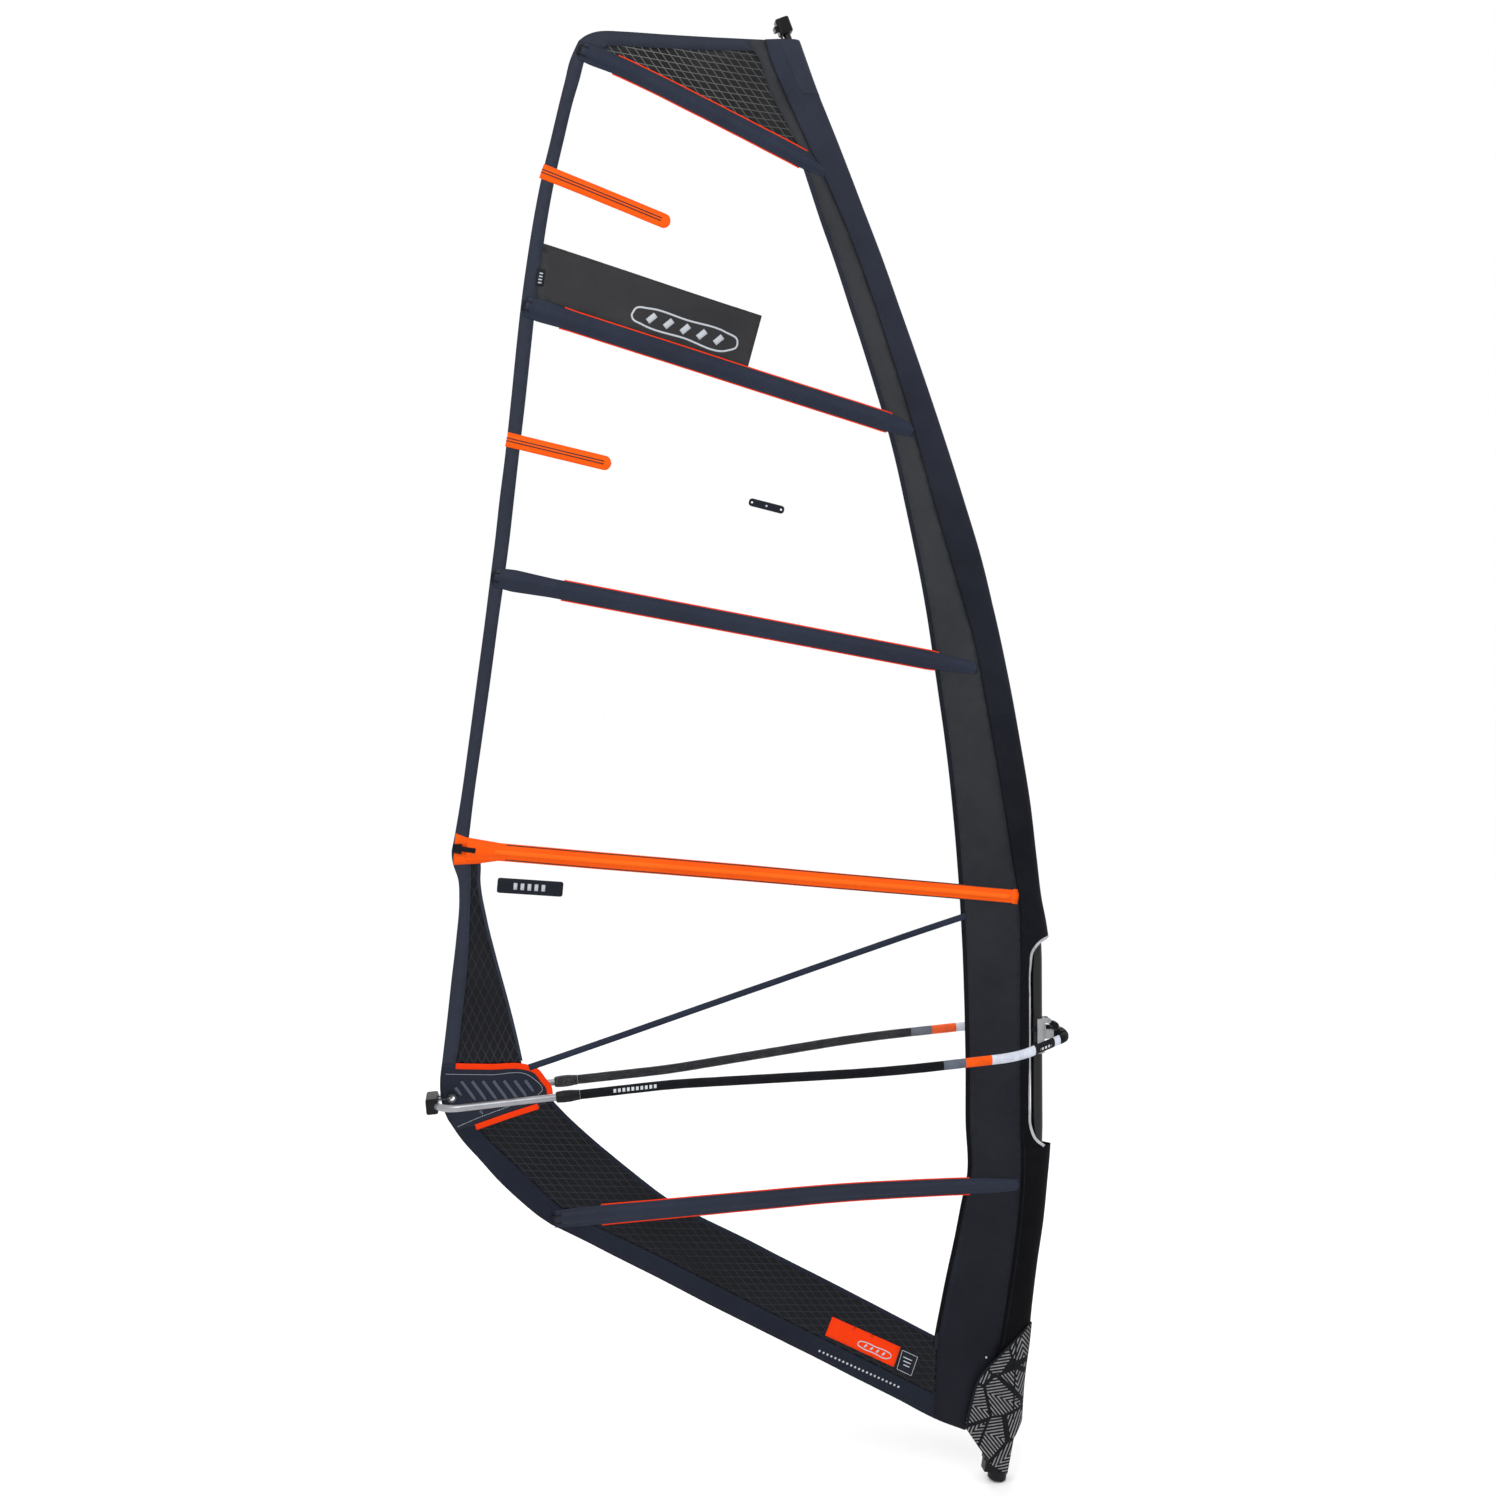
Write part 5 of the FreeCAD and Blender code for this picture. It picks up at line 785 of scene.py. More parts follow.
# ============================================================ prints, tags and reinforcements on the sail
ins = flat_patch("insignia_sheet", dense(poly(("l", INSIGNIA))), -0.75, M["insignia"], "insignia_print", 0.5, 22.0)
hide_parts("insignia_panel"); cloth(ins)
def tag_outline(c, r=0.32):
    x, z, L, w, a = c; a = math.radians(a); q = []
    rr = w*r
    for cx_, cz_, a0 in ((L/2-rr, w/2-rr, 0), (-L/2+rr, w/2-rr, 90), (-L/2+rr, -w/2+rr, 180), (L/2-rr, -w/2+rr, 270)):
        for k in range(7):
            t = math.radians(a0+15*k); q.append((cx_+rr*math.cos(t), cz_+rr*math.sin(t)))
    return [(x+u*math.cos(a)-v*math.sin(a), z+u*math.sin(a)+v*math.cos(a)) for u, v in q]
def disc(x, z, r, n=16): return [(x+r*math.cos(2*math.pi*k/n), z+r*math.sin(2*math.pi*k/n)) for k in range(n)]
ta = math.radians(TRIM_TAG[4])
hl = [disc(TRIM_TAG[0]+d*math.cos(ta), TRIM_TAG[1]+d*math.sin(ta), 3.2) for d in (-46, 46)]
tg = flat_patch("trim_tag", tag_outline(TRIM_TAG, 0.42), -0.75, M["tag"], "tag_print", 0.6, 9.0, hl)
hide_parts("window_tags"); cloth(tg)
dot = flat_patch("trim_tag_mark", disc(TRIM_TAG[0], TRIM_TAG[1], 3.4), -1.25, M["mark"], "tag_print", 0.3, 4.0); cloth(dot)
lb = flat_patch("window_label", tag_outline(LABEL_TAG, 0.16), -0.75, M["tag"], "tag_print", 0.6, 12.0); cloth(lb)
la = math.radians(LABEL_TAG[4])
for i, (d0, d1) in enumerate(((-50, -39), (-29, -18), (-8, 3), (13, 24), (34, 45))):
    q = [(LABEL_TAG[0]+d*math.cos(la), LABEL_TAG[1]+d*math.sin(la)) for d in (d0, d1)]
    e = ribbon("window_label_bar_%d" % i, q, 20.0, -1.25, M["mark"], "tag_print", 0.3); cloth(e, (11.0, 20.0))
bd = flat_patch("foot_badge", dense(poly(("l", BADGE))), -0.95, M["tape"], "orange_pocket", 0.5, 16.0); cloth(bd)
def lozenge(name, c, ang, k, w, yoff, bars):
    """Plain printed mark: a flat ring with slanted bars inside."""
    ca, sa = math.cos(math.radians(ang)), math.sin(math.radians(ang))
    def at(u, v): return (c[0]+k*(u*ca-v*sa), c[1]+k*(u*sa+v*ca))
    ring_ = [(-165,-8),(-158,14),(-120,25),(0,27),(120,28),(160,16),(163,-4),(140,-22),(0,-27),(-130,-26),(-160,-18),(-165,-8)]
    ribbon(name + "_ring", [at(u, v) for u, v in ring_], w, yoff, M["mark"], "tag_print", 0.3, 0, 1, 3, 6.0)
    for i, u in enumerate(bars):
        e = ribbon("%s_bar_%d" % (name, i), [at(u-9, -13), at(u+9, 13)], 17.0*k, yoff, M["mark"], "tag_print", 0.3, 0, 1, 3, 6.0); cloth(e, (17.0*k, 31.6*k))
lozenge("insignia_mark", (-994.0, 3604.0), -15.9, 1.0, 5.5, -1.3, (-105, -52, 0, 52, 105))
lozenge("foot_badge_mark", (-402.0, 431.0), -26.8, 0.36, 3.2, -1.5, (-90, -30, 30, 90))
stitch([(-586.0, 443.0), (-315.0, 303.0)], "thread_w", -1.1, pitch=14.3, ln=8.0, w=7.0, zig=0.35)
sb = flat_patch("size_box", dense(poly(("l", SIZEBOX))), -0.95, M["tag"], "tag_print", 0.5, 14.0); cloth(sb)
sz = SIZEBOX + [SIZEBOX[0]]
for i in range(4):
    c_ = np.mean(SIZEBOX, axis=0); p_ = [tuple(c_ + (np.array(v)-c_)*0.9) for v in (sz[i], sz[i+1])]
    e = ribbon("size_box_line_%d" % i, p_, 1.4, -1.35, M["mark"], "tag_print", 0.3); cloth(e, (1.4, float(np.linalg.norm(np.array(p_[0])-np.array(p_[1])))))
for i in range(3):
    c_ = np.mean(SIZEBOX, axis=0) + np.array([4.0, 12.0-12.0*i]); u = np.array(SIZEBOX[1])-np.array(SIZEBOX[0]); u /= np.linalg.norm(u)
    e = ribbon("size_box_bar_%d" % i, [tuple(c_-u*18), tuple(c_+u*(14-5*i))], 3.0, -1.35, M["mark"], "tag_print", 0.3); cloth(e, (3.0, 30.0))
for i, (a, b) in enumerate((((-196,470),(-203,418)),)):
    e = ribbon("luff_tag_%d" % i, [a, b], 15.0, -1.6, M["tag"], "tag_print", 0.8); cloth(e, (15.0, 52.0))
ls = ribbon("load_strap", STRAP, 20.0, -1.9, M["strap"], "webbing", 1.2, 0, 1, 3)
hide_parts("clew_load_strap"); cloth(ls, (20.0, ls["l"]))
it = flat_patch("leech_pull_tab", tag_outline((-1424, 3740, 50, 24, 82), 0.22), -1.2, M["tag"], "tag_print", 0.8, 9.0); cloth(it)
for i in range(4):
    e = ribbon("leech_tab_bar_%d" % i, [(-1431.0+i*1.6, 3726.0+i*9.0), (-1421.0+i*1.6, 3724.6+i*9.0)], 4.0, -1.8, M["mark"], "tag_print", 0.3); cloth(e, (4.0, 10.0))

# clew patch: tapes, ribs, thread
for nm, t_ in (("upper", TAPE1), ("lower", TAPE2)):
    e = ribbon("clew_tape_" + nm, t_, 18.0, -1.8, M["tape"], "orange_pocket", 0.6, 0, 1, 5, 6.0); cloth(e, (18.0, e["l"]))
rib_o = []
du = np.array([-1650.3+1714.1, 1346.6-1347.3])/2.0
for k in range(8):
    a = np.array([-1714.1, 1345.0]) + np.array([31.9, -0.9])*k
    ln_ = np.array([42.0, -60.0]) * (1.0 if k < 6 else (0.86 if k == 6 else 0.62))
    if k == 0: a = a + np.array([14.0, -19.0]); ln_ = ln_*0.42
    pr = [(-0.5,0.4),(-0.36,1.8),(-0.15,2.9),(0.15,2.9),(0.36,1.8),(0.5,0.4)]
    r_ = channel("clew_rib_%d" % k, [tuple(a), tuple(a+ln_)], [(0,9.5),(1,9.5)], pr, M["rib"], "patch_fabric", 0, 1, 5.0, 0.0, True)
    cloth(r_, (9.5, r_["l"]), 2)
for k in range(1):
    a = np.array([-1627.0+28*k, 1252.0]); pr = [(-0.5,0.4),(-0.3,2.2),(0.3,2.2),(0.5,0.4)]
    r_ = channel("clew_stub_%d" % k, [tuple(a), tuple(a+np.array([9.0,-13.0]))], [(0,9.0),(1,9.0)], pr, M["rib"], "patch_fabric", 0, 1, 4.0, 0.0, True)
    cloth(r_, (9.0, r_["l"]), 2)
stitch(PSTITCH1, "thread_w", -1.5, pitch=6.0, ln=4.9, w=1.7); stitch(PSTITCH2, "thread_w", -1.5, pitch=6.0, ln=4.9, w=1.7)

# ============================================================ mast centre line and luff sleeve
KU = 0.1467
LOWT = [(66.0,450.0),(85.5,634.7),(101.5,829.8),(112.5,1000.0),(117.5,1150.0)]
UP = [(109.0,1650.0),(103.0,1762.9),(87.5,1921.7),(53.7,2174.4),(1.6,2487.4),(-68.3,2796.9),(-158.3,3102.5),(-261.1,3404.0),(-370.2,3701.3),(-484.0,3994.3),(-603.8,4282.9),(-697.0,4485.0)]
R_TAB = [(0,18.5),(2130,18.5),(2487,16.0),(2797,15.1),(3102,14.7),(3404,14.2),(3701,13.2),(3994,12.0),(4283,11.4),(4600,11.0)]
mast_f = hermite([(0.0,0.0),(KU*200,200.0)] + LOWT + [(113.25,1400.0)] + UP, 1, 0)
front_f, seam_f, r_f = hermite(FRONT, 1, 0), hermite(SEAM, 1, 0), linear(R_TAB, 0, 1)

def natural(P, n=81):
    """Natural cubic spline through P (m, 2) by chord length, n samples per whole curve."""
    P = np.array(P, float); t = np.concatenate([[0], np.cumsum(np.linalg.norm(np.diff(P, axis=0), axis=1))]); m = len(P)
    A = np.zeros((m, m)); R = np.zeros((m, 2)); A[0, 0] = A[-1, -1] = 1; h = np.diff(t)
    for i in range(1, m-1):
        A[i, i-1], A[i, i], A[i, i+1] = h[i-1], 2*(h[i-1]+h[i]), h[i]
        R[i] = 6*((P[i+1]-P[i])/h[i] - (P[i]-P[i-1])/h[i-1])
    K = np.linalg.solve(A, R); q = np.linspace(0, t[-1], n); i = np.clip(np.searchsorted(t, q)-1, 0, m-2)
    a, b = (t[i+1]-q)/h[i], (q-t[i])/h[i]
    return a[:, None]*P[i] + b[:, None]*P[i+1] + ((a**3-a)[:, None]*K[i] + (b**3-b)[:, None]*K[i+1])*(h[i]**2)[:, None]/6

def half_section(xr, xm, xf, h, rear):
    d = xm-xr
    half = [(xr, rear), (xr+0.30*d, rear+(h-rear)*0.45), (xr+0.66*d, rear+(h-rear)*0.86), (xm, h), (xm+(xf-xm)*0.74, h*0.69), (xf, 0.0)]
    full = [(x, y) for x, y in half] + [(x, -y) for x, y in half[-2::-1]]
    q = natural(full, 121)[:61]
    q[:, 0] = np.maximum.accumulate(q[:, 0]); q[-1] = (xf, 0.0); return q

CACHE = {}
def sleeve_half(z, off=0.0):
    z = round(float(z), 1); k = (z, off)
    if k not in CACHE:
        r = float(r_f(z)); xm = float(mast_f(z)); xf = max(float(front_f(z)), xm + r*1.09 + 2.6)
        CACHE[k] = half_section(float(seam_f(z)), xm, xf+off, r+2.4+off, 1.4+off)
    return CACHE[k]

def sleeve_wr(x, z, side):
    """Outward folds of the sleeve cloth, mm."""
    g = 0.9*math.sin(z*0.031+side*1.1+x*0.02)*math.sin(z*0.0053+side) + 0.6*math.sin(z*0.083+x*0.05+side*2.0)
    t = math.exp(-((z-330)/170.0)**2)*1.8*math.sin((x*0.75+z*0.22)*0.11+side)
    c = (math.exp(-((z-1760)/60.0)**2)+math.exp(-((z-1050)/60.0)**2))*1.2*math.sin(x*0.16+z*0.05)
    return 0.6 + 0.7*g + t + c

def sleeve_y(x, z, side=-1.0, off=0.0):
    """Y of the sleeve's outer skin at (x, z)."""
    out = []
    for a, b in zip(np.atleast_1d(x), np.atleast_1d(z)):
        s = sleeve_half(b); y = float(np.interp(a, s[:, 0], s[:, 1]))
        xf = s[-1, 0]; k = min(1.0, max(0.0, (xf-a)/16.0))*min(1.0, max(0.0, (a-s[0, 0])/25.0))
        out.append(side*(y + off + k*max(-0.5, sleeve_wr(a, b, side))))
    return np.array(out) if np.ndim(x) else out[0]

NQ = [(260.0,1741.2)] + smooth(NOTCH[1:-1], 4.0) + [(260.0,1076.0)]
notch_x = linear(NQ)
def skin(name, zs, mat, slot, limit=None, nh=15, off=0.0, t=1.3):
    """Cloth wrapped round the mast; limit(z) is the X at which each side stops, or None."""
    V, F, rows = [], [], []
    for z in zs:
        s = sleeve_half(z, off); xf = s[-1, 0]; xe = xf
        if limit is not None: xe = min(xf, float(limit(z)))
        closed = xe >= xf - 0.4
        if closed:
            u = np.linspace(0, 60, nh); X = np.interp(u, np.arange(61), s[:, 0]); Y = np.interp(u, np.arange(61), s[:, 1])
        else:
            ue = float(np.interp(xe, s[:, 0], np.arange(61))); u = np.linspace(0, ue, nh)
            X = np.interp(u, np.arange(61), s[:, 0]); Y = np.interp(u, np.arange(61), s[:, 1])
        row = []
        for side in (-1, 1):
            for j in range(nh):
                k = min(1.0, max(0.0, (xf-X[j])/16.0))*min(1.0, max(0.0, (X[j]-s[0, 0])/25.0))
                yy = side*(Y[j] + off*0 + k*max(-0.5, sleeve_wr(X[j], z, side)))
                if closed and j == nh-1: yy = 0.0
                row.append(len(V)); V.append((X[j], yy, z))
        rows.append((row, closed))
    for (a, _), (b, _) in zip(rows, rows[1:]):
        for side in (0, 1):
            for j in range(nh-1):
                p = side*nh+j
                F.append((a[p], a[p+1], b[p+1], b[p]))
    ob = fix_normals(make(name, V, F, mat, slot))
    if t: solid(ob, t, -1.0)
    return ob
up_s = skin("sleeve_upper_cloth", np.concatenate([np.arange(1741.2, 4440, 11.0), [4446, 4452]]), M["sleeve"], "sleeve_fabric")
cu_z = np.concatenate([np.arange(1076.0, 1140, 2.4), np.arange(1142, 1650, 10.0), np.arange(1652, 1741.2, 2.4), [1741.2]])
cu_s = skin("sleeve_cutout_cloth", cu_z, M["sleeve"], "sleeve_fabric", notch_x)
lo_s = skin("sleeve_lower_cloth", np.concatenate([np.arange(196.0, 1070, 9.0), [1076.0]]), M["sleeve"], "sleeve_fabric")
for ob, n, L in ((up_s, "upper_sleeve", 2850.0), (cu_s, "cutout_sleeve", 668.0), (lo_s, "lower_sleeve", 890.0)):
    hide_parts(n); cloth(ob, (area_of(ob)*1e6/L, L))

# piping round the cut-out, both sides, following the sleeve's skin
def piping(name, side):
    a = np.array(smooth(NOTCH[1:-1], 7.0)); b = np.array(smooth(OFFN[1:-1], 7.0))
    n = 150; pa = np.stack([np.interp(np.linspace(0, 1, n), np.linspace(0, 1, len(a)), a[:, k]) for k in (0, 1)], axis=1)
    tx, tz = np.gradient(pa[:, 0]), np.gradient(pa[:, 1]); l = np.hypot(tx, tz); nx, nz = tz/l, -tx/l
    sgn = 1.0 if nx[n//2] < 0 else -1.0
    V, F, prof = [], [], [(-0.8,-1.6),(-0.9,0.4),(0.6,1.4),(2.6,1.7),(5.4,1.5),(8.0,1.0),(8.6,0.2)]
    for i in range(n):
        kw = 0.55 + 0.45*min(1.0, max(0.0, (abs(pa[i, 1]-1420.0)-200.0)/90.0))
        for w, h in prof:
            x, z = pa[i, 0]+sgn*nx[i]*w*kw, pa[i, 1]+sgn*nz[i]*w*kw
            s = sleeve_half(z); x = min(x, s[-1, 0]-0.6)
            V.append((x, sleeve_y(x, z, side) + side*h, z))
    m = len(prof)
    for i in range(n-1):
        for j in range(m-1):
            k = i*m+j; F.append((k, k+1, k+m+1, k+m))
    ob = fix_normals(make(name, V, F, M["piping"], "piping")); solid(ob, 0.5, 0.0)
    return ob
pn, pf = piping("cutout_piping_near", -1.0), piping("cutout_piping_far", 1.0)
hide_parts("cutout_piping")
for ob in (pn, pf): cloth(ob, (10.5, 760.0))

# seam threads: sleeve, luff panel, leech, hem, panel joins
seam_in = [(x-7, z) for x, z in SEAM]
stitch([p for p in seam_in if 260 < p[1] < 4440], "thread", -0.75, zig=0.6, pitch=5.0, ln=4.6)
stitch([(x+9, z) for x, z in SEAM if 260 < z < 4440], "thread", -0.25, yfun=lambda x, z: sleeve_y(x, z, -1.0), pitch=6.0)
stitch([(x+9, z) for x, z in SEAM if 260 < z < 4440], "thread", 0.25, yfun=lambda x, z: sleeve_y(x, z, 1.0), pitch=6.0, side=1.0)
stitch([(x+8, z) for x, z in LUFF_IN], "thread", -0.75, pitch=6.0); stitch([(x+14, z) for x, z in LUFF_IN], "thread", -0.75, pitch=6.0)
stitch([(x-6, z) for x, z in LEECH_IN], "thread", -0.85, zig=0.6, pitch=5.2); stitch([(x+8, z) for x, z in LEECH if z > 2100], "thread", -0.85, pitch=6.0)
stitch([(x-6, z) for x, z in LEECH_LOW_IN], "thread", -0.85, zig=0.6, pitch=5.2); stitch([(x+7, z) for x, z in LEECH if 1420 < z < 1960], "thread", -0.85, pitch=6.0)
stitch([(x-5, z-7) for x, z in HEM_IN], "thread", -0.85, zig=0.6, pitch=5.2); stitch([(x+3, z+9) for x, z in FOOT[:-1]], "thread", -0.85, pitch=6.0)
stitch([(x-6, z-5) for x, z in FOOT_UP[:-1]], "thread", -0.6, pitch=6.5); stitch([(x-6, z) for x, z in CLEW_IN[1:]], "thread", -0.6, pitch=6.5)
stitch([(-1215, 4421), (-1000, 4424), (-795, 4425)], "thread", -0.85, zig=0.6, pitch=5.2)
for key, (V, F) in STITCH.items():
    mk = {"thread": "thread", "thread_o": "orange", "thread_w": "thread_w"}[key]
    make("stitching_" + key, V, F, M[mk], "pocket_fabric" if key == "thread" else "tag_print")

# narrow film-edge tapes and panel seams
e = ribbon("luff_seam_tape", LUFF_IN, 13.0, -0.75, M["sleeve"], "sleeve_fabric", 0.5, 0, 1, 3, shift=-5.0); cloth(e, (13.0, e["l"]))
e = ribbon("foot_seam_tape", FOOT_UP, 12.0, -0.7, M["hem"], "hem_fabric", 0.5, 0.0, 1, 3, shift=0.0); cloth(e, (12.0, e["l"]))
e = ribbon("clew_seam_tape", CLEW_IN, 10.0, -0.7, M["leech"], "leech_tape", 0.5, 0.0, 0.99, 3); cloth(e, (10.0, e["l"]))
rf = poly(("s", [(-712,4432),(-690,4380),(-668,4330),(-650.7,4301.4)]), ("s", [(-650.7,4301.4),(-642,4290.1),(-628,4286.4),(-614,4290)]))
def sleeve_patch(name, left, z0, z1, mat, slot, off, xr=None):
    V, F = [], []; zs = np.linspace(z0, z1, 26)
    for z in zs:
        s = sleeve_half(z); xl = max(float(left(z)), s[0, 0]+3); xe = s[-1, 0]
        for side, rng in ((-1, np.linspace(0, 1, 10)), (1, np.linspace(1, 0, 10)[1:])):
            for q in rng:
                u0 = float(np.interp(xl, s[:, 0], np.arange(61))); u = u0 + (60-u0)*q
                x = float(np.interp(u, np.arange(61), s[:, 0])); y = float(np.interp(u, np.arange(61), s[:, 1]))
                k = min(1.0, max(0.0, (xe-x)/16.0))*min(1.0, max(0.0, (x-s[0, 0])/25.0))
                xx = x + off*max(0.0, 1-(xe-x)/14.0)
                V.append((xx, side*(y + (off if q < 0.999 else 0) + k*max(-0.5, sleeve_wr(x, z, side))), z))
    m = 19
    for i in range(25):
        for j in range(m-1):
            k = i*m+j; F.append((k, k+1, k+m+1, k+m))
    ob = fix_normals(make(name, V, F, mat, slot)); solid(ob, 0.6, 0.0); return ob
hp_ = sleeve_patch("head_reinforcement", hermite([(-640.0,4294.0),(-656.0,4312.0),(-682.0,4370.0),(-706.0,4425.0),(-716.0,4450.0)], 1, 0), 4294.0, 4450.0, M["leech"], "sleeve_fabric", 1.2)
cloth(hp_)

# ============================================================ tack fairing
FL = linear([(93.4,496.4),(7.7,413.9),(-69.1,328.2),(-97.5,228.5),(-109.2,166.5),(-32.3,52.3),(23.0,15.7)])
FR = linear([(23.0,15.7),(43.6,127.8),(79.3,183.8),(98.4,408.6),(93.5,496.4)])
HF = hermite([(-5,35),(60,35),(120,33),(180,29),(240,26.5),(330,24.9),(420,24.6),(520,24.6)], 0, 1)
def fair_rows(zs, n=13, lift=0.0):
    V, F, rows = [], [], []
    for z in zs:
        xm = float(mast_f(z)); xf = max(float(front_f(z)), xm + (30.0 if z < 100 else 22.0)) + 3.0
        s = half_section(-128.0, xm, xf + lift, float(HF(z)) + lift, 4.6 + lift)
        xl, xr = float(FL(z)), float(FR(z)); closed = xr >= xf - 3.0
        if z > 183: closed = True
        xe = s[-1, 0] if closed else min(xr, s[-1, 0])
        u0 = float(np.interp(min(xl, xe-1.0), s[:, 0], np.arange(61))); u1 = 60.0 if closed else float(np.interp(xe, s[:, 0], np.arange(61)))
        row = []
        for side in (-1, 1):
            for q in np.linspace(0, 1, n):
                u = u0+(u1-u0)*q; x = float(np.interp(u, np.arange(61), s[:, 0])); y = float(np.interp(u, np.arange(61), s[:, 1]))
                w = 0.8*math.sin(z*0.06+x*0.07+side)*math.sin(z*0.021)
                if closed and q == 1.0: y, w = 0.0, 0.0
                row.append(len(V)); V.append((x, side*(y+max(w, -0.3)*min(1, (xe-x)/12.0 if closed else 1)), z))
        rows.append(row)
    for a, b in zip(rows, rows[1:]):
        for side in (0, 1):
            for j in range(n-1):
                p = side*n+j; F.append((a[p], a[p+1], b[p+1], b[p]))
    return V, F
V, F = fair_rows(np.concatenate([np.arange(17.0, 180.0, 5.5), np.arange(181.0, 494.0, 7.5), [495.5]]))
fa = fix_normals(make("tack_fairing_skin", V, F, M["fairing"], "neoprene")); solid(fa, 1.8, 1.0)
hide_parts("tack_fairing"); cloth(fa)
bl = [(50.8,447.5),(49.0,380.0),(46.5,300.0),(42.8,193.4)]
def fair_y(x, z):
    out = []
    for a, b in zip(np.atleast_1d(x), np.atleast_1d(z)):
        xm = float(mast_f(b)); xf = max(float(front_f(b)), xm + (30.0 if b < 100 else 22.0)) + 3.0
        s = half_section(-128.0, xm, xf, float(HF(b)), 4.6); out.append(-float(np.interp(a, s[:, 0], s[:, 1])))
    return np.array(out) if np.ndim(x) else out[0]
e = ribbon("fairing_binding", bl, 5.0, -2.6, M["webbing"], "webbing", 1.0, 0, 1, 3, 8.0, fair_y); cloth(e, (5.0, 255.0))
fe = [(88.0,490.0),(7.7,410.5),(-66.1,326.0),(-94.0,228.5),(-105.0,168.5)]
e = ribbon("fairing_edge_binding", fe, 7.0, -2.5, M["webbing"], "webbing", 1.0, 0, 1, 3, 8.0, fair_y); cloth(e, (7.0, e["l"]))
dt = make("fairing_stud", *(lambda c: ([(c[0]+3.4*math.cos(a), float(fair_y(c[0], c[1]))-3.2-0.0, c[1]+3.4*math.sin(a)) for a in np.linspace(0, 2*math.pi, 17)[:-1]]
     + [(c[0]+2.2*math.cos(a), float(fair_y(c[0], c[1]))-4.2, c[1]+2.2*math.sin(a)) for a in np.linspace(0, 2*math.pi, 17)[:-1]] + [(c[0]+3.4*math.cos(a), float(fair_y(c[0], c[1]))-1.0, c[1]+3.4*math.sin(a)) for a in np.linspace(0, 2*math.pi, 17)[:-1]],
     [tuple(range(16, 32))[::-1]] + [(i, (i+1) % 16, 16+(i+1) % 16, 16+i) for i in range(16)] + [(32+i, 32+(i+1) % 16, (i+1) % 16, i) for i in range(16)] + [tuple(range(32, 48))]))((-45.1, 396.4)), M["sheave_p"], "sheave_plastic", sm=False)
fix_normals(dt)

# ============================================================ tack webbing, head strap, clamp straps
lean = math.atan(KU)
def ff(x, y, z): return (x*math.cos(lean)+z*math.sin(lean), y, -x*math.sin(lean)+z*math.cos(lean))
txx = -38.0*math.cos(lean) + 146*math.sin(lean); tzz = 146*math.cos(lean) + 38.0*math.sin(lean)
V, F = [], []
prof = []
for y, rows_ in ((-2.3, [(-86,-50,262),(-84,-49,225),(-82,-48,190),(txx-13.5,txx+12.5,tzz+9)]), (2.3, [(txx-13.5,txx+12.5,tzz+9),(-82,-48,190),(-84,-49,225),(-86,-50,262)])):
    for a, b, z in rows_: prof.append((a, b, y*(1.0 if z < 240 else 1.05), z))
prof.insert(4, (txx-13, txx+13, -1.6, tzz+4.6)); prof.insert(5, (txx-13, txx+13, 1.6, tzz+4.6))
for a, b, y, z in prof:
    for q in np.linspace(0, 1, 6): V.append((a+(b-a)*q, y, z))
for i in range(len(prof)-1):
    for j in range(5): k = i*6+j; F.append((k, k+1, k+7, k+6))
tw = fix_normals(make("tack_webbing_loop", V, F, M["webbing"], "webbing")); solid(tw, 1.6, 0.0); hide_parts("tack_webbing")
cloth(tw, (30.0, area_of(tw)*1e6/30.0))

tip = Vector((-0.40, 0, 1)).normalized(); hpx = Vector((-701, 0, 4491)); ex = Vector((tip.z, 0, -tip.x))
def hf(x, y, z): return tuple(hpx + ex*x + Vector((0, 1, 0))*y + tip*z)
V, F = [], []
zz = [-40, -28, -16, -4, 8, 18, 25]
for z in zz:
    for y in np.linspace(-11.5, 11.5, 7): V.append(hf(-15.9, y, z))
for i in range(len(zz)-1):
    for j in range(6): k = i*7+j; F.append((k, k+1, k+8, k+7))
hs = fix_normals(make("head_strap_webbing", V, F, M["webbing"], "webbing")); solid(hs, 1.5, 0.0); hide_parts("head_strap"); cloth(hs, (23.0, 65.0))

cut_dir = Vector((109.0-117.5, 0, 500.0)).normalized(); CC = Vector((117.5 + (1427-1150)*(109-117.5)/500.0, 0, 1427.0)); cex = Vector((cut_dir.z, 0, -cut_dir.x))
def cf(x, y, z): return tuple(CC + cex*x + Vector((0, 1, 0))*y + cut_dir*z)
V, F = [], []
for z0, z1 in ((14,30), (-36,-20)):
    k0 = len(V); A = [98 + 164*i/40.0 for i in range(41)]; ring_ = [(20.3, z0), (20.3, z0+0.01), (20.3, (z0+z1)/2), (20.3, z1)]
    cross = [(19.1,z0+0.4),(21.3,z0),(21.75,z0+1.6),(21.35,z0+4.0),(21.35,z1-4.0),(21.75,z1-1.6),(21.3,z1),(19.1,z1-0.4)]; m = len(cross)
    for a in A:
        for r, z in cross: V.append(cf(r*math.cos(math.radians(a)), r*math.sin(math.radians(a)), z))
    for i in range(40):
        for j in range(m): F.append((k0+i*m+j, k0+i*m+(j+1) % m, k0+(i+1)*m+(j+1) % m, k0+(i+1)*m+j))
    F.append(tuple(k0+j for j in range(m))); F.append(tuple(k0+40*m+j for j in range(m))[::-1])
cs = fix_normals(make("clamp_strap_webbing", V, F, M["webbing"], "webbing", "boom_head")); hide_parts("clamp_straps")
cloth(cs, (32.0, 58.0), 2)

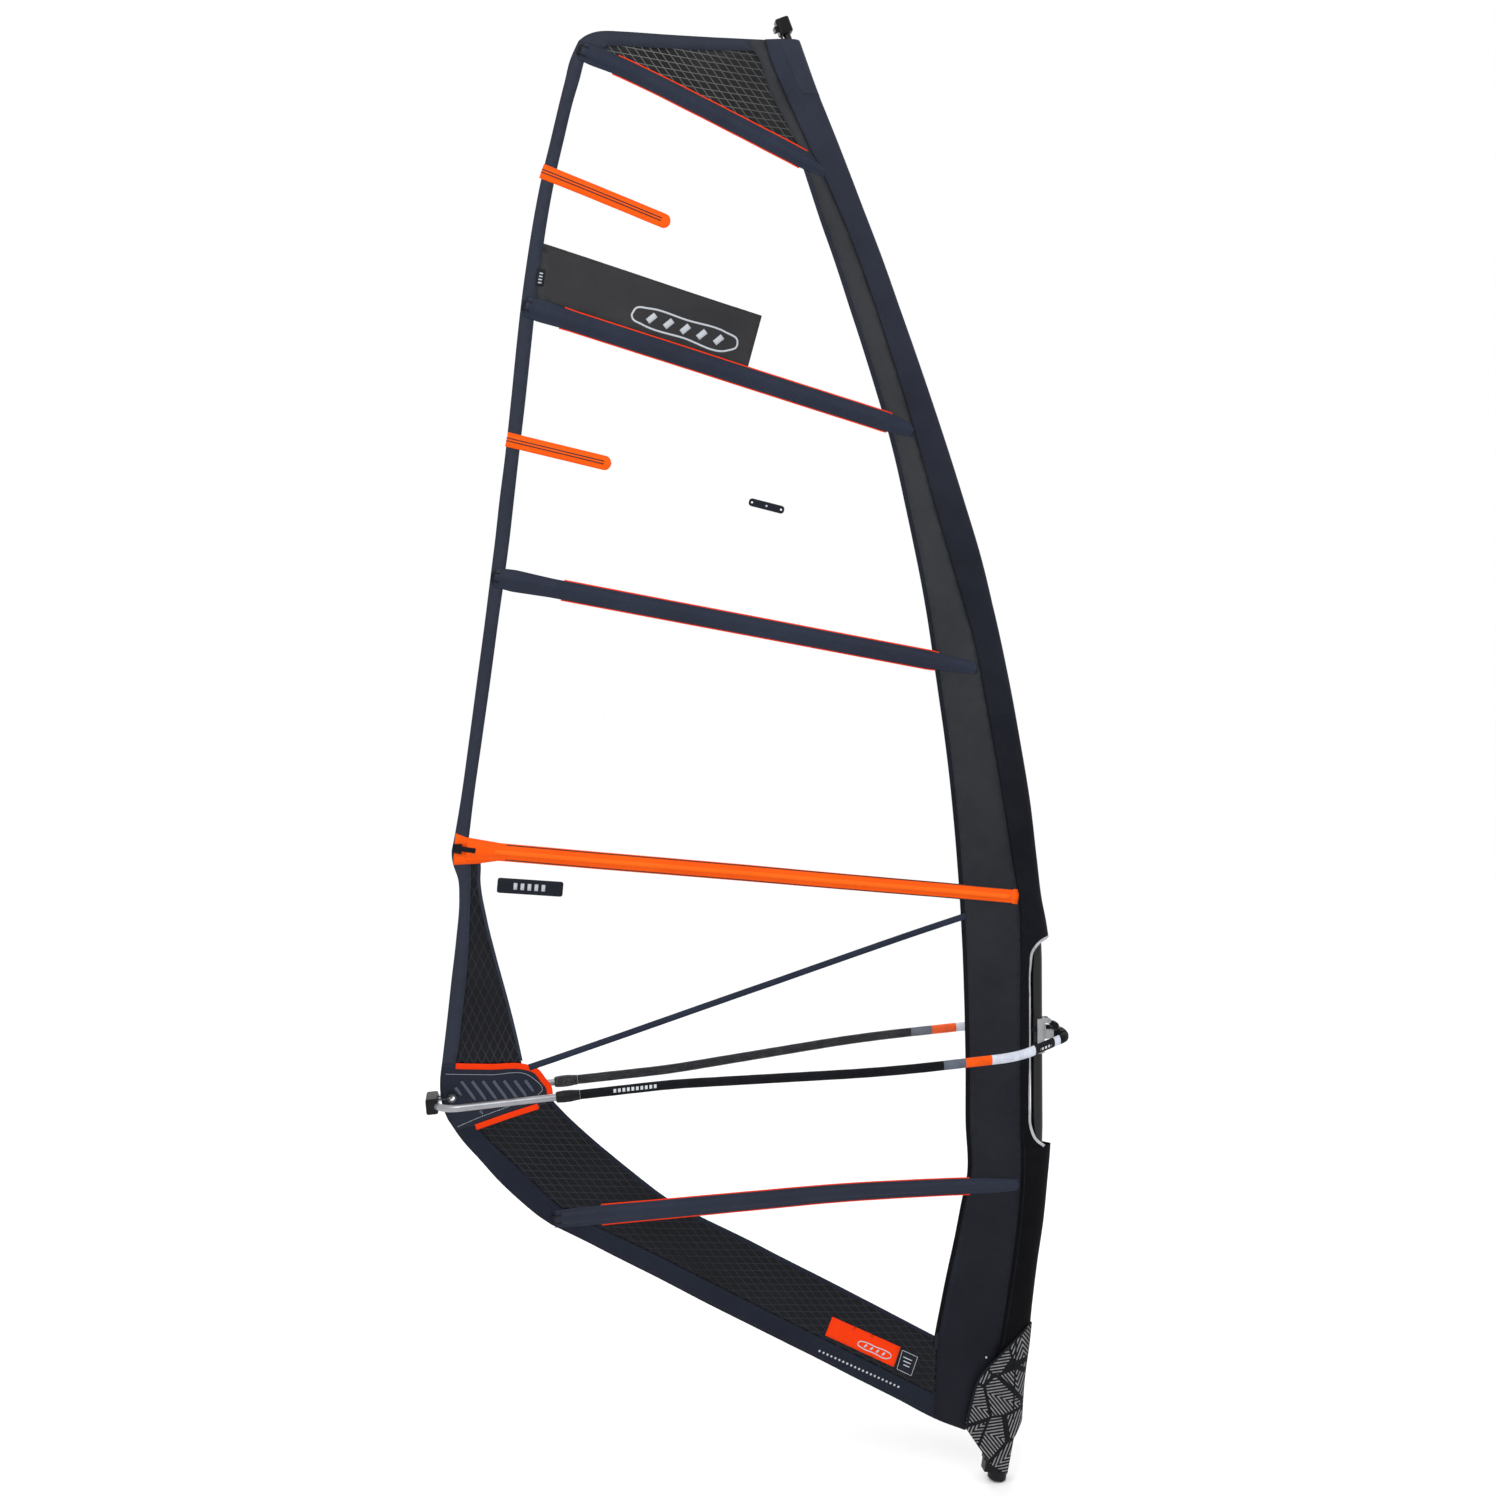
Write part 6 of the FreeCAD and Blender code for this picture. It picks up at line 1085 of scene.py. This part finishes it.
# ============================================================ boom grips
bt = math.radians(BOOM_TILT)
def bf(x, y, z): return (BOOM_HUB[0]+x*math.cos(bt)-z*math.sin(bt), y, BOOM_HUB[1]+x*math.sin(bt)+z*math.cos(bt))
def fillet_pts(pts, radii, step=12.0):
    P = [Vector((p[0], p[1], 0)) for p in pts]; out = []; cur = P[0]
    def run(a, b):
        n = max(1, int((b-a).length/step)); return [a + (b-a)*k/n for k in range(n)]
    for i in range(1, len(P)-1):
        a, b, c = P[i-1], P[i], P[i+1]; d0, d1 = (b-a).normalized(), (c-b).normalized(); ang = d0.angle(d1); t = radii[i-1]*math.tan(ang/2)
        s, e_ = b-d0*t, b+d1*t; cr = d0.cross(d1).z; nrm = Vector((-d0.y, d0.x, 0))*(1 if cr > 0 else -1); cen = s+nrm*radii[i-1]
        out += run(cur, s); n = max(3, int(radii[i-1]*ang/step))
        for k in range(n):
            th = ang*k/n*(1 if cr > 0 else -1); v = s-cen; out.append(cen + Vector((v.x*math.cos(th)-v.y*math.sin(th), v.x*math.sin(th)+v.y*math.cos(th), 0)))
        cur = e_
    out += run(cur, P[-1]) + [P[-1]]; return out
HALF = [(-1590,ARM_HALF),(-1240,ARM_HALF),(-600,217),(-200,214),(0,52)]
full = [(x, -y) for x, y in HALF] + HALF[::-1]
bp = fillet_pts(full, [700,1500,200,45,45,200,1500,700])
def tube(name, pts, rads, mat, slot, body, ns=28, inner=None):
    """Closed tube along local boom points; inner radius makes it a sleeve round the arm."""
    V, F = [], []; n = len(pts)
    for layer in (0, 1):
        for i, p in enumerate(pts):
            t = (pts[min(i+1, n-1)] - pts[max(i-1, 0)]).normalized(); nn = Vector((-t.y, t.x, 0)); r = rads[i] if layer == 0 else inner
            for k in range(ns):
                a = 2*math.pi*k/ns; q = p + nn*(r*math.cos(a)) + Vector((0, 0, r*math.sin(a))); V.append(bf(q.x, q.y, q.z))
    o = n*ns
    for i in range(n-1):
        for k in range(ns):
            a, b = i*ns+k, i*ns+(k+1) % ns; F.append((a, b, b+ns, a+ns)); F.append((o+a, o+a+ns, o+b+ns, o+b))
    for i in (0, n-1):
        for k in range(ns):
            a, b = i*ns+k, i*ns+(k+1) % ns; F.append((a, o+a, o+b, b))
    return fix_normals(make(name, V, F, mat, slot, body))
for nm, sg in (("near", -1), ("far", 1)):
    pts = [p for p in bp if p.y*sg > 31.6 and p.x > -1524]
    if sg > 0: pts = pts[::-1]
    pts.insert(0, Vector((-1523.9, ARM_HALF*sg, 0)))
    r = [14.25 + 0.12*math.sin(i*0.9) for i in range(len(pts))]; r[0] = r[1] = 14.1; r[-1] = 14.1
    g_ = tube("grip_foam_" + nm, pts, r, M["grip"], "grip", "boom_frame", 28, 13.05)
    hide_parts("boom_grip_" + nm)

# end rings in black moulding where the grips stop at the front
for nm, sg in (("near", -1), ("far", 1)):
    pts = [p for p in bp if 31.2 < p.y*sg < 36.5 and p.x > -300]
    if sg > 0: pts = pts[::-1]
    if len(pts) > 1:
        tube("grip_end_ring_" + nm, pts, [15.0]*len(pts), M["black"], "grip", "boom_frame", 28, 14.3)

# ============================================================ held ropes
def nurbs_points(pts):
    c = bpy.data.curves.new("route", "CURVE"); c.dimensions = "3D"; s = c.splines.new("NURBS"); s.points.add(len(pts)-1)
    for q, p in zip(s.points, pts): q.co = (p[0]*MM, p[1]*MM, p[2]*MM, 1.0)
    s.order_u = 3; s.use_endpoint_u = True; s.resolution_u = 10
    o = bpy.data.objects.new("route", c); me = bpy.data.meshes.new_from_object(o)
    out = [v.co.copy() for v in me.vertices]; bpy.data.objects.remove(o); bpy.data.curves.remove(c); bpy.data.meshes.remove(me)
    return out
def braid(name, route, r, mat, body=None, ns=16):
    """Braided rope: round section with eight bulging carriers twisting both ways."""
    P = nurbs_points(route); L = [0.0]
    for a, b in zip(P, P[1:]): L.append(L[-1]+(b-a).length)
    n = int(L[-1]/0.0011); s = np.linspace(0, L[-1], n)
    Q = np.stack([np.interp(s, L, [p[k] for p in P]) for k in range(3)], axis=1)
    T = np.gradient(Q, axis=0); T /= np.linalg.norm(T, axis=1)[:, None]
    N = np.zeros_like(T); v = np.cross(T[0], [0.3, 0.2, 1.0]); N[0] = v/np.linalg.norm(v)
    for i in range(1, n):
        v = N[i-1] - T[i]*np.dot(N[i-1], T[i]); N[i] = v/np.linalg.norm(v)
    B = np.cross(T, N); V, F = [], []
    for i in range(n):
        for k in range(ns):
            a = 2*math.pi*k/ns; w = s[i]*900
            rr = r*MM*(1 - 0.045 + 0.045*math.cos(4*a+w)*math.cos(4*a-w))
            p = Q[i] + rr*(math.cos(a)*N[i]+math.sin(a)*B[i]); V.append(tuple(p/MM))
    for i in range(n-1):
        for k in range(ns): a, b = i*ns+k, i*ns+(k+1) % ns; F.append((a, b, b+ns, a+ns))
    F.append(tuple(range(ns))[::-1]); F.append(tuple((n-1)*ns+k for k in range(ns)))
    return fix_normals(make(name, V, F, mat, "rope", body))
xa, xb, zt = -49.0, -27.0, 125.0
def octo(x0, x1, z, y, s=1):     # corner points of a half turn over a sheave, x0 to x1
    r = abs(x1-x0)/2; c = (x0+x1)/2; d = 1 if x1 > x0 else -1; R = r*1.082
    return [ff(c-d*R*math.cos(math.radians(q)), y, z+s*R*math.sin(math.radians(q))) for q in (22.5, 67.5, 112.5, 157.5)]
rt = [ff(xa,-9,70.5), ff(xa,-9,95), ff(xa,-9,115)] + octo(xa, xb, zt, -9) + [ff(xb,-9,112), ff(xb,-9,90), ff(xb,-9,72)]
rt += [ff(xb, -9*math.cos(math.radians(q))*1.082, 66-9*1.082*math.sin(math.radians(q))) for q in (22.5, 67.5, 112.5, 157.5)]
rt += [ff(xb,9,72), ff(xb,9,90), ff(xb,9,112)] + octo(xb, xa, zt, 9) + [ff(xa,9,115), ff(xa,9,95), ff(xa,9,70.5)]
dh = braid("downhaul_rope", rt, 2.0, M["rope2"], "rig"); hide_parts("downhaul_line")
rx = (RING[0]-BOOM_HUB[0])*math.cos(bt) + (RING[1]-BOOM_HUB[1])*math.sin(bt); rz = -(RING[0]-BOOM_HUB[0])*math.sin(bt) + (RING[1]-BOOM_HUB[1])*math.cos(bt)
SX, SZ = -1966.0, 17.5; oa = math.atan2(SZ-rz, rx-SX); DS = math.hypot(rx-SX, SZ-rz)
def of_(x, y, z): return bf(x*math.cos(oa)+z*math.sin(oa)+rx, y, -x*math.sin(oa)+z*math.cos(oa)+rz)
def arcp(cx_, cy, r, angs): return [of_(cx_+r*1.082*math.cos(math.radians(a)), cy+r*1.082*math.sin(math.radians(a)), 0) for a in angs]
rt = [of_(-DS-6,-17,0), of_(-DS+6,-17,0), of_(-26,-17,0)] + arcp(-17, 0, 17, (-67.5, -22.5, 22.5, 67.5)) + [of_(-26,17,0), of_(-DS+6,17,0)]
rt += arcp(-DS, 27, 10, (-112.5, -157.5, 157.5, 112.5)) + [of_(-DS+4,37,0), of_(-DS+10,37,0)]
oh = braid("outhaul_rope", rt, 2.0, M["rope"])
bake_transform(oh)
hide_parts("outhaul_line")

# ============================================================ floor, light, camera
def floor():
    V = [(-40, -40), (40, -40), (40, 40), (-40, 40)]; z = CAD_BOX[0][2] - 0.0005
    me = bpy.data.meshes.new("studio_floor"); bm = bmesh.new()
    bmesh.ops.create_grid(bm, x_segments=8, y_segments=8, size=40.0)
    for v in bm.verts: v.co.z = z
    bm.to_mesh(me); bm.free()
    ob = bpy.data.objects.new("studio_floor", me); bpy.context.scene.collection.objects.link(ob)
    m, nt, b, co = nodes_of("floor_paint")
    nt.links.new(mixc(nt, noise(nt, co, 0.5, 3.0), (0.93, 0.93, 0.932, 1), (0.96, 0.96, 0.96, 1)), b.inputs["Base Color"])
    b.inputs["Roughness"].default_value = 0.85; b.inputs["Specular IOR Level"].default_value = 0.1
    me.materials.append(m)
floor()
sc = bpy.context.scene
w = bpy.data.worlds.new("studio"); sc.world = w; w.use_nodes = True
bg = w.node_tree.nodes["Background"]; bg.inputs[0].default_value = (1.0, 1.0, 1.0, 1); bg.inputs[1].default_value = 1.0
def area(name, loc, target, size, energy, col=(1, 1, 1)):
    d = bpy.data.lights.new(name, "AREA"); d.shape = "RECTANGLE"; d.size, d.size_y = size; d.energy = energy; d.color = col
    o = bpy.data.objects.new(name, d); sc.collection.objects.link(o); o.location = loc
    o.rotation_euler = (Vector(target)-Vector(loc)).to_track_quat("-Z", "Y").to_euler(); return o
area("key", (-3.6, -3.8, 6.4), (-0.8, 0, 2.2), (2.6, 2.6), 105)
area("rim", (3.2, -1.6, 4.6), (0.0, 0, 2.2), (1.2, 3.2), 30)
area("back", (-1.2, 4.6, 5.2), (-0.8, 0, 2.2), (3.0, 2.0), 60)
sun = bpy.data.lights.new("soft_sun", "SUN"); sun.energy = 0.3; sun.angle = math.radians(35)
so = bpy.data.objects.new("soft_sun", sun); sc.collection.objects.link(so); so.rotation_euler = (math.radians(38), math.radians(-14), 0)
sc.view_settings.view_transform = "Standard"; sc.view_settings.look = "None"
cam = bpy.data.cameras.new("camera"); co_ = bpy.data.objects.new("camera", cam); sc.collection.objects.link(co_)
co_.location = (-1.525446, -5.243779, 2.734566); cam.lens = 41.87; cam.sensor_width = 36.0; cam.clip_end = 200.0
co_.rotation_euler = (Vector((-0.807138, 0, 2.345891)) - co_.location).to_track_quat("-Z", "Y").to_euler()
sc.camera = co_

bpy.context.view_layer.update()
